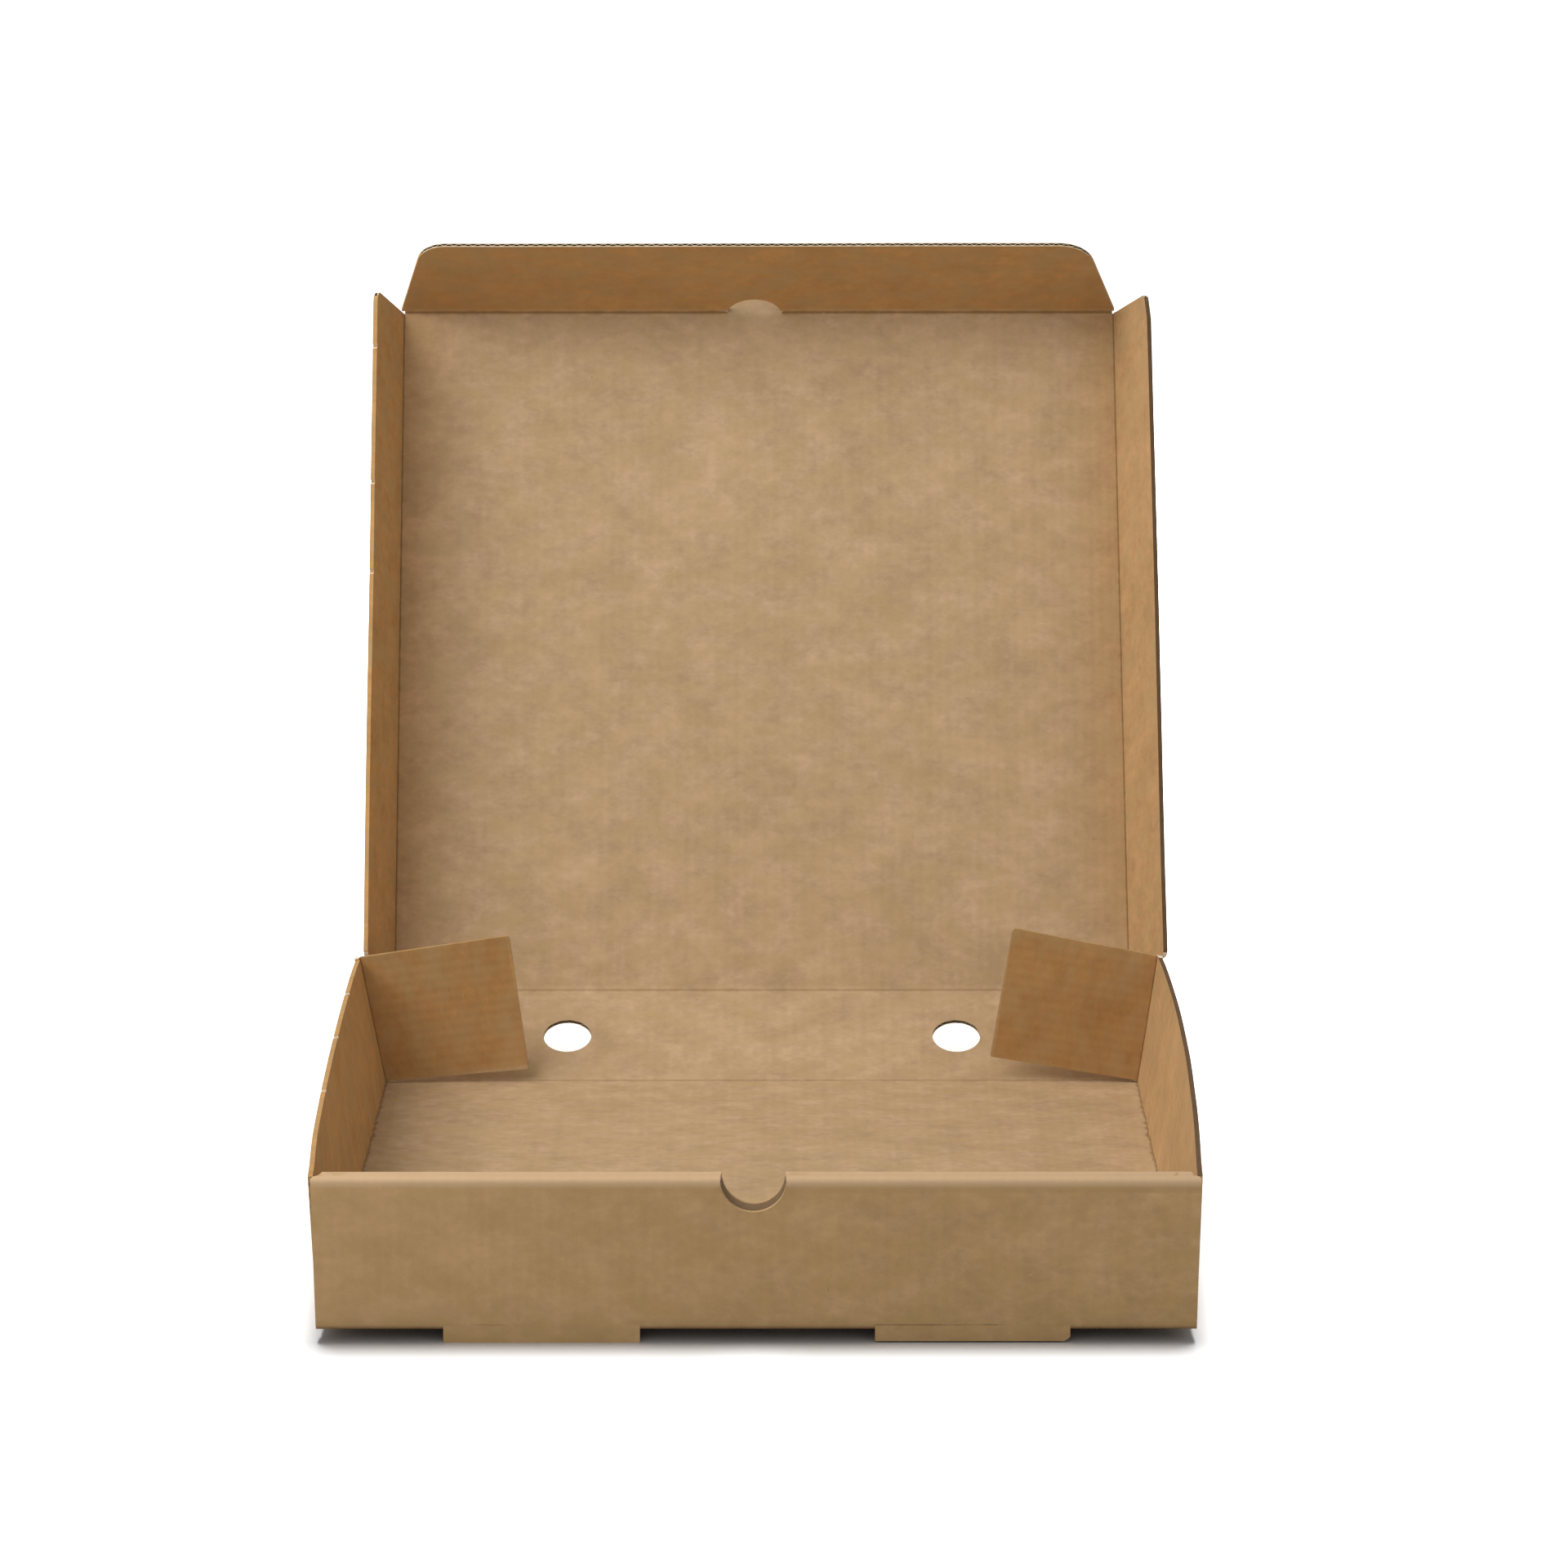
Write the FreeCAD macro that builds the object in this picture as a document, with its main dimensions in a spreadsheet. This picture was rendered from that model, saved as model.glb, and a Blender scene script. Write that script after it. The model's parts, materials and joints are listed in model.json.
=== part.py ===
import FreeCAD, Part
import math
import os

import Sketcher

doc = FreeCAD.newDocument("pizza_box")

# Driving dimensions, in millimetres and degrees.
DIMENSIONS = [
    ("board", 1.5),
    ("crease_gap", 0.3),
    ("box_width", 255),
    ("box_depth", 255),
    ("wall_height", 46),
    ("side_spring_front", 0.5),
    ("side_spring_rear", 1.7),
    ("rollover_depth", 7.6),
    ("rollover_foot_depth", 5.1),
    ("rollover_end_gap", 0.6),
    ("corner_tab_length", 40),
    ("corner_tab_inset", 2),
    ("corner_tab_gap", 0.3),
    ("notch_radius", 10),
    ("foot_inner", 34.5),
    ("foot_outer", 90.5),
    ("foot_height", 3.5),
    ("back_wall_angle", 26.3),
    ("back_wall_height", 46.3),
    ("back_wall_base_width", 254),
    ("back_wall_top_width", 253),
    ("vent_radius", 8.1),
    ("vent_spacing", 132),
    ("vent_height", 22.6),
    ("lid_angle", 63.2),
    ("lid_width", 251.2),
    ("lid_length", 245.4),
    ("lid_tab_radius", 9.5),
    ("tuck_angle", 71.5),
    ("tuck_depth", 38),
    ("tuck_slant", 8),
    ("tuck_end_gap", 1.7),
    ("tuck_corner_radius", 9),
    ("tuck_cut_clearance", 0.5),
    ("side_flap_angle_left", 80),
    ("side_flap_angle_right", 75.5),
    ("side_flap_depth", 38),
    ("side_flap_rear_start", 3.2),
    ("side_flap_rear_slant", 13),
    ("side_flap_front_gap", 1.5),
    ("side_flap_slant", 6),
    ("side_flap_front_radius", 8),
    ("side_flap_rear_radius", 2),
    ("dust_flap_length", 48.5),
    ("dust_flap_height", 40),
    ("dust_flap_lift", 0.5),
    ("dust_flap_gap", 0.4),
    ("dust_flap_radius", 2.5),
    ("fold_radius", 1.2),
]

sheet = doc.addObject("Spreadsheet::Sheet", "Sizes")
for row, (alias, number) in enumerate(DIMENSIONS, start=1):
    sheet.set("A%d" % row, alias)
    sheet.set("B%d" % row, str(number))
    sheet.setAlias("B%d" % row, alias)
doc.recompute()


def full(expression):
    """The expression with each size written as a cell of the sheet."""
    words = []
    word = ""
    for letter in expression + " ":
        if letter.isalnum() or letter == "_":
            word += letter
            continue
        words.append("Sizes." + word if word in ALIASES else word)
        words.append(letter)
        word = ""
    return "".join(words).strip()


ALIASES = {alias for alias, number in DIMENSIONS}


def value(expression):
    return float(sheet.evalExpression(full(expression)))


def new_body(label):
    body = doc.addObject("PartDesign::Body", label)
    body.Label = label
    return body


def plane(body, role):
    for feature in body.Origin.OriginFeatures:
        if feature.Role == role:
            return feature
    raise RuntimeError("no origin plane " + role)


def new_sketch(body, name, role, offset="0"):
    """A sketch on one of the body's origin planes, raised by offset."""
    sketch = doc.addObject("Sketcher::SketchObject", name)
    body.addObject(sketch)
    sketch.AttachmentSupport = [(plane(body, role), "")]
    sketch.MapMode = "FlatFace"
    sketch.setExpression(".AttachmentOffset.Base.z", full(offset))
    return sketch


def bind(sketch, kind, places, expression):
    """Adds a dimension to the sketch and ties it to the expression."""
    number = value(expression)
    index = sketch.addConstraint(Sketcher.Constraint(kind, *places, number))
    sketch.setExpression("Constraints[%d]" % index, full(expression))


def draw_polygon(sketch, corners):
    """A closed outline, each corner at the pair of expressions given."""
    points = [FreeCAD.Vector(value(x), value(y), 0) for x, y in corners]
    first = sketch.GeometryCount
    count = len(points)
    for i in range(count):
        line = Part.LineSegment(points[i], points[(i + 1) % count])
        sketch.addGeometry(line, False)
    for i in range(count):
        after = first + (i + 1) % count
        sketch.addConstraint(Sketcher.Constraint("Coincident", first + i, 2, after, 1))
    for i, (x, y) in enumerate(corners):
        bind(sketch, "DistanceX", (-1, 1, first + i, 1), x)
        bind(sketch, "DistanceY", (-1, 1, first + i, 1), y)


def draw_circle(sketch, x, y, radius):
    centre = FreeCAD.Vector(value(x), value(y), 0)
    circle = Part.Circle(centre, FreeCAD.Vector(0, 0, 1), value(radius))
    index = sketch.addGeometry(circle, False)
    bind(sketch, "DistanceX", (-1, 1, index, 3), x)
    bind(sketch, "DistanceY", (-1, 1, index, 3), y)
    bind(sketch, "Radius", (index,), radius)


def rectangle(x0, y0, x1, y1):
    return [(x0, y0), (x1, y0), (x1, y1), (x0, y1)]


def pad(body, sketch, name, length):
    """Raises the sketch along its normal by length."""
    feature = doc.addObject("PartDesign::Pad", name)
    body.addObject(feature)
    feature.Profile = sketch
    feature.setExpression("Length", full(length))
    sketch.Visibility = False
    doc.recompute()
    return feature


def pocket(body, sketch, name, length):
    """Cuts the sketch into the body by length, towards the side that holds material."""
    before = body.Shape.Volume
    feature = doc.addObject("PartDesign::Pocket", name)
    body.addObject(feature)
    feature.Profile = sketch
    feature.setExpression("Length", full(length))
    sketch.Visibility = False
    doc.recompute()
    if body.Shape.isNull() or body.Shape.Volume > before - 1:
        feature.Reversed = True
        doc.recompute()
    if body.Shape.Volume > before - 1:
        raise RuntimeError(name + " cuts nothing")
    return feature


def fillet(body, name, radius, chosen):
    """Rounds the edges for which chosen(edge) holds, in the body's own frame."""
    base = body.Tip
    names = []
    for i, edge in enumerate(base.Shape.Edges, start=1):
        if chosen(edge):
            names.append("Edge%d" % i)
    if not names:
        raise RuntimeError(name + " finds no edge")
    feature = doc.addObject("PartDesign::Fillet", name)
    body.addObject(feature)
    feature.Base = (base, names)
    feature.setExpression("Radius", full(radius))
    doc.recompute()
    return feature


def runs_along(edge, axis):
    """True if a straight edge is parallel to the axis 0, 1 or 2."""
    if not isinstance(edge.Curve, Part.Line):
        return False
    direction = edge.Curve.Direction
    return abs(abs(direction[axis]) - 1) < 1e-6


def edge_at(edge, **at):
    """True if the middle of the edge lies at the coordinates given."""
    middle = edge.BoundBox.Center
    return all(abs(getattr(middle, name) - number) < 0.02 for name, number in at.items())


def knuckle(body, name, x0, x1):
    """The rounded edge of a panel along its crease, about the local X axis."""
    sketch = new_sketch(body, name + "_outline", "YZ_Plane", x0)
    draw_circle(sketch, "0", "0", "board / 2")
    return pad(body, sketch, name, "%s - (%s)" % (x1, x0))


def edge_knuckle(body, name, y0, y1):
    """The rounded edge of a flap along its crease, about the local Y axis."""
    sketch = new_sketch(body, name + "_outline", "XZ_Plane", "-(%s)" % y1)
    draw_circle(sketch, "0", "0", "board / 2")
    return pad(body, sketch, name, "%s - (%s)" % (y1, y0))


def place(body, x, y, z, rotation):
    """Turns the body and puts its origin at x, y and z, with y counted from the front face.

    The frame's own origin is under the middle of the bottom."""
    body.Placement = FreeCAD.Placement(FreeCAD.Vector(0, 0, 0), rotation)
    body.setExpression(".Placement.Base.x", full(x))
    body.setExpression(".Placement.Base.y", full("%s - box_depth / 2" % y))
    body.setExpression(".Placement.Base.z", full(z))


X_AXIS = FreeCAD.Vector(1, 0, 0)
Y_AXIS = FreeCAD.Vector(0, 1, 0)

# Places that several panels share.
HALF_WIDTH = "box_width / 2"
CREASE_Y = "(box_depth - board / 2)"
CREASE_Z = "board / 2"
EDGE_SET_BACK = "(board / 2 + crease_gap)"
LID_CREASE_Y = "(%s + back_wall_height * cos(back_wall_angle * 1 deg))" % CREASE_Y
LID_CREASE_Z = "(%s + back_wall_height * sin(back_wall_angle * 1 deg))" % CREASE_Z
TUCK_CREASE_Y = "(%s + lid_length * cos(lid_angle * 1 deg))" % LID_CREASE_Y
TUCK_CREASE_Z = "(%s + lid_length * sin(lid_angle * 1 deg))" % LID_CREASE_Z
SIDE_CREASE_X = "(lid_width / 2 - board / 2)"
DUST_Y = "(box_depth - board * 2 - dust_flap_gap)"
DUST_X = "(box_width / 2 - board - crease_gap)"


def make_tray():
    """Bottom, side walls and rolled-over front wall: one folded sheet."""
    body = new_body("tray")

    # The bottom ends short of the rear crease, about which the back wall turns.
    sketch = new_sketch(body, "bottom_outline", "XY_Plane")
    rear = "%s - %s" % (CREASE_Y, EDGE_SET_BACK)
    draw_polygon(sketch, rectangle("-" + HALF_WIDTH, "0", HALF_WIDTH, rear))
    pad(body, sketch, "bottom", "board")

    # Outer layer of the front wall, over the full width.
    sketch = new_sketch(body, "front_outer_outline", "YZ_Plane", "-" + HALF_WIDTH)
    draw_polygon(sketch, rectangle("0", "0", "board", "wall_height"))
    pad(body, sketch, "front_outer_layer", "box_width")

    # Top strip and inner layer, which slopes to the slots in the bottom.
    inner_half = "(%s - board - rollover_end_gap)" % HALF_WIDTH
    sketch = new_sketch(body, "rollover_outline", "YZ_Plane", "-" + inner_half)
    draw_polygon(sketch, [
        ("0", "wall_height - board"),
        ("0", "wall_height"),
        ("rollover_depth", "wall_height"),
        ("rollover_foot_depth", "board / 2"),
        ("rollover_foot_depth - board", "board / 2"),
        ("rollover_depth - board", "wall_height - board"),
    ])
    pad(body, sketch, "rollover", "2 * " + inner_half)

    # The folds along the top of the front wall are rounded.
    top = value("wall_height")
    depth = value("rollover_depth")

    def on_top_fold(edge):
        if not runs_along(edge, 0):
            return False
        return edge_at(edge, y=0, z=top) or edge_at(edge, y=depth, z=top)

    fillet(body, "front_top_folds", "fold_radius", on_top_fold)

    # Half-moon thumb notch through both layers and the strip between them.
    sketch = new_sketch(body, "thumb_notch_outline", "XZ_Plane", "0")
    draw_circle(sketch, "0", "wall_height", "notch_radius")
    pocket(body, sketch, "thumb_notch", "rollover_depth * 1.5")

    # Each side wall is upright at the front and springs outwards towards the rear.
    wall_front = "(board + corner_tab_gap)"
    wall_rear = "(%s - crease_gap)" % DUST_Y
    for side, name in ((-1, "left"), (1, "right")):
        sections = []
        for end, y, spring in (
            ("front", wall_front, "side_spring_front"),
            ("rear", wall_rear, "side_spring_rear"),
        ):
            sketch = new_sketch(body, "side_wall_%s_%s" % (name, end), "XZ_Plane", "-" + y)
            outer = "%d * %s" % (side, HALF_WIDTH)
            inner = "%d * (%s - board)" % (side, HALF_WIDTH)
            draw_polygon(sketch, [
                (outer, "0"),
                ("%s + %d * %s" % (outer, side, spring), "wall_height"),
                ("%s + %d * %s" % (inner, side, spring), "wall_height"),
                (inner, "0"),
            ])
            sections.append(sketch)
        doc.recompute()
        loft = doc.addObject("PartDesign::AdditiveLoft", "side_wall_" + name)
        body.addObject(loft)
        loft.Profile = sections[0]
        loft.Sections = [sections[1]]
        loft.Ruled = True
        doc.recompute()

        # The side wall's front tab is caught between the layers of the front wall.
        sketch = new_sketch(body, "corner_tab_%s_outline" % name, "XZ_Plane",
                            "-(%s + board)" % wall_front)
        outer = "%d * (%s - board / 2)" % (side, HALF_WIDTH)
        inner = "%d * (%s - corner_tab_length)" % (side, HALF_WIDTH)
        draw_polygon(sketch, rectangle(outer, "corner_tab_inset", inner,
                                       "wall_height - board - corner_tab_inset"))
        pad(body, sketch, "corner_tab_" + name, "board")

        # A tongue of the front wall reaches below the bottom, over its slot.
        sketch = new_sketch(body, "foot_%s_outline" % name, "XZ_Plane", "-board")
        near = "%d * foot_inner" % side
        far = "%d * foot_outer" % side
        draw_polygon(sketch, rectangle(near, "-foot_height", far, "board"))
        pad(body, sketch, "foot_" + name, "board")

        sketch = new_sketch(body, "slot_%s_outline" % name, "XY_Plane", "board")
        draw_polygon(sketch, rectangle(near, "board", far, "rollover_foot_depth - board"))
        pocket(body, sketch, "slot_" + name, "board")

    place(body, "0", "0", "0", FreeCAD.Rotation())
    return body


def make_back_wall():
    """Rear wall with its two vent holes; the origin is on its crease with the bottom."""
    body = new_body("back_wall")
    sketch = new_sketch(body, "back_wall_outline", "XY_Plane", "-board / 2")
    top = "back_wall_height - " + EDGE_SET_BACK
    draw_polygon(sketch, [
        ("-back_wall_base_width / 2", "0"),
        ("back_wall_base_width / 2", "0"),
        ("back_wall_top_width / 2", top),
        ("-back_wall_top_width / 2", top),
    ])
    for side in (-1, 1):
        draw_circle(sketch, "%d * vent_spacing / 2" % side, "vent_height", "vent_radius")
    pad(body, sketch, "back_wall_panel", "board")
    half = "back_wall_base_width / 2"
    knuckle(body, "back_wall_crease", "-" + half, half)
    turn = FreeCAD.Rotation(X_AXIS, value("back_wall_angle"))
    place(body, "0", CREASE_Y, CREASE_Z, turn)
    return body


def make_lid_panel():
    """Lid with the half-moon tab at its front; the origin is on its crease with the back wall."""
    body = new_body("lid_panel")
    half = "(%s - %s)" % (SIDE_CREASE_X, EDGE_SET_BACK)
    sketch = new_sketch(body, "lid_outline", "XY_Plane", "-board / 2")
    front = "lid_length - " + EDGE_SET_BACK
    draw_polygon(sketch, rectangle("-" + half, "0", half, front))
    pad(body, sketch, "lid_sheet", "board")
    knuckle(body, "lid_crease", "-" + half, half)
    sketch = new_sketch(body, "lid_tab_outline", "XY_Plane", "-board / 2")
    draw_circle(sketch, "0", "lid_length", "lid_tab_radius")
    pad(body, sketch, "lid_tab", "board")
    place(body, "0", LID_CREASE_Y, LID_CREASE_Z,
          FreeCAD.Rotation(X_AXIS, value("lid_angle")))
    return body


def make_tuck_flap():
    """Flap on the lid's front edge, cut out around the lid's tab."""
    body = new_body("tuck_flap")
    half = "(%s - tuck_end_gap)" % SIDE_CREASE_X
    sketch = new_sketch(body, "tuck_outline", "XY_Plane", "-board / 2")
    draw_polygon(sketch, [
        ("-" + half, "0"),
        (half, "0"),
        ("%s - tuck_slant" % half, "tuck_depth"),
        ("tuck_slant - %s" % half, "tuck_depth"),
    ])
    pad(body, sketch, "tuck_sheet", "board")
    depth = value("tuck_depth")

    def on_free_corner(edge):
        return runs_along(edge, 2) and abs(edge.BoundBox.Center.y - depth) < 0.02

    fillet(body, "tuck_corners", "tuck_corner_radius", on_free_corner)
    knuckle(body, "tuck_crease", "-" + half, half)
    sketch = new_sketch(body, "tuck_cut_outline", "XY_Plane", "board")
    draw_circle(sketch, "0", "0", "lid_tab_radius + tuck_cut_clearance")
    pocket(body, sketch, "tuck_cut", "board * 2")
    turn = FreeCAD.Rotation(X_AXIS, value("lid_angle") + value("tuck_angle"))
    place(body, "0", TUCK_CREASE_Y, TUCK_CREASE_Z, turn)
    return body


def make_lid_side_flap(side, name):
    """Flap on one side edge of the lid; its local Y axis runs along the crease."""
    body = new_body("lid_side_flap_" + name)
    sketch = new_sketch(body, "side_flap_%s_outline" % name, "XY_Plane", "-board / 2")
    front = "lid_length - side_flap_front_gap"
    depth = "%d * side_flap_depth" % side
    draw_polygon(sketch, [
        ("0", "side_flap_rear_start"),
        (depth, "side_flap_rear_start + side_flap_rear_slant"),
        (depth, front + " - side_flap_slant"),
        ("0", front),
    ])
    pad(body, sketch, "side_flap_%s_sheet" % name, "board")
    out = side * value("side_flap_depth")
    middle = value("lid_length") / 2

    def on_free_edge(edge):
        return runs_along(edge, 2) and abs(edge.BoundBox.Center.x - out) < 0.02

    def on_rear_corner(edge):
        return on_free_edge(edge) and edge.BoundBox.Center.y < middle

    def on_front_corner(edge):
        return on_free_edge(edge) and edge.BoundBox.Center.y > middle

    fillet(body, "side_flap_%s_rear" % name, "side_flap_rear_radius", on_rear_corner)
    fillet(body, "side_flap_%s_front" % name, "side_flap_front_radius", on_front_corner)
    edge_knuckle(body, "side_flap_%s_crease" % name, "side_flap_rear_start", front)
    fold = FreeCAD.Rotation(Y_AXIS, -side * value("side_flap_angle_" + name))
    turn = FreeCAD.Rotation(X_AXIS, value("lid_angle")).multiply(fold)
    place(body, "%d * %s" % (side, SIDE_CREASE_X), LID_CREASE_Y, LID_CREASE_Z, turn)
    return body


def make_dust_flap(side, name):
    """Flap on one side wall's rear edge; its local Y axis runs up the crease."""
    body = new_body("dust_flap_" + name)
    sketch = new_sketch(body, "dust_flap_%s_outline" % name, "XY_Plane", "-board")
    outer = "%d * board" % side
    free = "%d * dust_flap_length" % -side
    low = "dust_flap_lift"
    high = "dust_flap_lift + dust_flap_height"
    draw_polygon(sketch, rectangle(outer, low, free, high))
    pad(body, sketch, "dust_flap_%s_sheet" % name, "board")
    end = -side * value("dust_flap_length")

    def on_free_corner(edge):
        return runs_along(edge, 2) and abs(edge.BoundBox.Center.x - end) < 0.02

    fillet(body, "dust_flap_%s_corners" % name, "dust_flap_radius", on_free_corner)
    spring = value("side_spring_rear") / value("wall_height")
    lean = math.degrees(math.atan(spring))
    upright = FreeCAD.Rotation(X_AXIS, 90)
    turn = FreeCAD.Rotation(Y_AXIS, side * lean).multiply(upright)
    x = "%d * (%s + side_spring_rear * board / wall_height)" % (side, DUST_X)
    place(body, x, DUST_Y, "board", turn)
    return body


pieces = [
    make_tray(),
    make_back_wall(),
    make_lid_panel(),
    make_tuck_flap(),
    make_lid_side_flap(-1, "left"),
    make_lid_side_flap(1, "right"),
    make_dust_flap(-1, "left"),
    make_dust_flap(1, "right"),
]
doc.recompute()

for item in doc.Objects:
    if "Invalid" in item.State or "Error" in item.State:
        raise RuntimeError(item.Name + " did not build")

os.makedirs("parts", exist_ok=True)
for body in pieces:
    if body.Shape.isNull() or not body.Shape.isValid() or len(body.Shape.Solids) != 1:
        raise RuntimeError(body.Label + " is not one valid solid")
    body.Shape.exportStep("parts/%s.step" % body.Label)
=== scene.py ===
import json
import math

import bmesh
import bpy
from mathutils import Matrix, Vector, noise


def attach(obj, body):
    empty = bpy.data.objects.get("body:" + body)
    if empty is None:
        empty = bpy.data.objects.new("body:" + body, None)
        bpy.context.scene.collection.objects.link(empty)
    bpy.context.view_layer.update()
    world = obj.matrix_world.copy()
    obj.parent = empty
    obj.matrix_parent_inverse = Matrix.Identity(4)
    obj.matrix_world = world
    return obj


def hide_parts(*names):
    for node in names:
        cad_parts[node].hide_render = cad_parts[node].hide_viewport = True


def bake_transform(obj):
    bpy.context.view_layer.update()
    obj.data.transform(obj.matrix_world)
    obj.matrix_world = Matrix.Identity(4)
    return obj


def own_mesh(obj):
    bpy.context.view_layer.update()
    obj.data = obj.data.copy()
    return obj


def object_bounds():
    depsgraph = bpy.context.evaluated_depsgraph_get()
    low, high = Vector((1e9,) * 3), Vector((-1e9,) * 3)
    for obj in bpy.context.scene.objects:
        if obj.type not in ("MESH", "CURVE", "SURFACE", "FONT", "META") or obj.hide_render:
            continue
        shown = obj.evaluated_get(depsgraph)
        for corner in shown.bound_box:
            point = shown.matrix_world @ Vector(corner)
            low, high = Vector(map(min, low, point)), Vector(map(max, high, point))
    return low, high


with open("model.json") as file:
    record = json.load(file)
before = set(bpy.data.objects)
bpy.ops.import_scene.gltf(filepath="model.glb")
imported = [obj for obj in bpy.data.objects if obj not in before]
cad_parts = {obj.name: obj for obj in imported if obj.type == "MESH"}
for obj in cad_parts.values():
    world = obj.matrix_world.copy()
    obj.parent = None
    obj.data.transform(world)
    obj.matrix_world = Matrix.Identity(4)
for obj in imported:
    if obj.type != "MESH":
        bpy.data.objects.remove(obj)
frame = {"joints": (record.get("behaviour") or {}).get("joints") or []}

bl_info = {
    "name": "Corrugated pizza box",
    "version": (1, 0, 0),
    "blender": (4, 5, 0),
    "location": "3D View > Sidebar > Pizza box",
    "description": "Builds an open pizza box of kraft board around its packed CAD frame",
    "category": "Add Mesh",
}

CAD_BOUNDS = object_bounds()
JOINTS = {joint["name"]: joint for joint in frame["joints"]}

# The geometry is written in millimetres and scaled to metres when a mesh is made.
MM = 0.001

X = Vector((1, 0, 0))
SIDES = (("left", -1), ("right", 1))

# The box's front face is this far in front of the frame's origin.
FRONT = -127.5

# Finishes of the board, in the order of the material slots.
# The flute finish is near-black: painted shade of the hollows between the flutes, also used as
# painted shade on the right-hand cut rims.
INNER, OUTER, EDGE, FLUTE = range(4)

# Gap between a panel's edge and the line of its fold, which the fold's paper covers.
FOLD_GAP = 1.05

# How far the fold's paper reaches over each panel, and how far it stands off the board.
FOLD_REACH = 2.2
FOLD_LIFT = 0.02

# Lengthwise places of the cross folds on the flat sheet, from the front fold.
FRONT_FOLD = 5.1
REAR_FOLD = 254.25
LID_FOLD = 300.55
TUCK_FOLD = 545.95

# On the flat sheet: half the distance between the side folds, and the dust flaps' folds.
SIDE_FOLD = 127
DUST_FOLD = 251

# Points along a fold's rounded section, less one.
FOLD_STEPS = 8

# Divisions of the wavy paper: steps in each wave, and the spacing of its rows.
WAVE_STEPS = 8
FLUTE_ROW = 22

# How far the wavy paper keeps inside the panel's sides, and the shortest flute that is made.
EDGE_INSET = 0.02
SHORTEST_FLUTE = 0.3


def joint_point(name):
    """Where the joint is, in millimetres."""
    return Vector(JOINTS[name]["pos_m"]) / MM


def panel_directions(angle):
    """Direction up a panel that rises at angle from the rear, and its inner side's normal."""
    turn = math.radians(angle)
    along = Vector((0, math.cos(turn), math.sin(turn)))
    inner = Vector((0, -math.sin(turn), math.cos(turn)))
    return along, inner


def between(table, at):
    """The value at a place, from a table of (place, value) pairs."""
    if at <= table[0][0]:
        return table[0][1]
    for (x0, y0), (x1, y1) in zip(table, table[1:]):
        if at <= x1:
            return y0 + (y1 - y0) * (at - x0) / (x1 - x0)
    return table[-1][1]


def ripple(u, w, seed):
    """Slow unevenness of a board sheet, in millimetres."""
    broad = noise.noise(Vector((u / 85, w / 85, seed)))
    fine = noise.noise(Vector((u / 24, w / 24, seed + 7)))
    return 0.35 * broad + 0.07 * fine


def arc(cx, cy, radius, start, end, count):
    """Points along an arc; the angles are in degrees."""
    points = []
    for i in range(count + 1):
        turn = math.radians(start + (end - start) * i / count)
        points.append((cx + radius * math.cos(turn), cy + radius * math.sin(turn)))
    return points


def rounded(corners, count=8):
    """Outline from (x, y, radius) corners, each rounded by its radius."""
    points = []
    total = len(corners)
    for i, (x, y, radius) in enumerate(corners):
        here = Vector((x, y))
        if radius <= 0:
            points.append((x, y))
            continue
        before = (Vector(corners[i - 1][:2]) - here).normalized()
        after = (Vector(corners[(i + 1) % total][:2]) - here).normalized()
        half = before.angle(after) / 2
        reach = radius / math.tan(half)
        centre = here + (before + after).normalized() * (radius / math.sin(half))
        start = here + before * reach - centre
        end = here + after * reach - centre
        first = math.atan2(start.y, start.x)
        sweep = math.atan2(end.y, end.x) - first
        sweep = (sweep + math.pi) % (2 * math.pi) - math.pi
        for k in range(count + 1):
            turn = first + sweep * k / count
            points.append((centre.x + radius * math.cos(turn),
                           centre.y + radius * math.sin(turn)))
    return points


class BoardMesh:
    """Points, faces and finishes of one piece of board, with each point's place on the flat
    sheet, which is called the blank."""

    def __init__(self):
        self.points = []
        self.faces = []
        self.finishes = []
        self.blank = []

    def point(self, place, blank):
        self.points.append(place)
        self.blank.append(blank)
        return len(self.points) - 1

    def face(self, corners, finish):
        self.faces.append(corners)
        self.finishes.append(finish)

    def make(self, name, materials):
        """The Blender object, with shared points joined and faces turned outwards."""
        mesh = bpy.data.meshes.new(name)
        mesh.from_pydata([tuple(p * MM) for p in self.points], [], self.faces)
        mesh.polygons.foreach_set("material_index", self.finishes)
        blank = mesh.attributes.new("blank", "FLOAT_VECTOR", "POINT")
        blank.data.foreach_set("vector", [c for spot in self.blank for c in spot])
        for material in materials:
            mesh.materials.append(material)
        work = bmesh.new()
        work.from_mesh(mesh)
        bmesh.ops.remove_doubles(work, verts=work.verts, dist=2e-6)
        bmesh.ops.dissolve_degenerate(work, edges=work.edges, dist=1e-6)
        loose = [v for v in work.verts if not v.link_faces]
        bmesh.ops.delete(work, geom=loose, context="VERTS")
        bmesh.ops.recalc_face_normals(work, faces=work.faces)
        work.to_mesh(mesh)
        work.free()
        mesh.shade_smooth()
        mesh.set_sharp_from_angle(angle=math.radians(32))
        piece = bpy.data.objects.new(name, mesh)
        bpy.context.scene.collection.objects.link(piece)
        return piece


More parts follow.
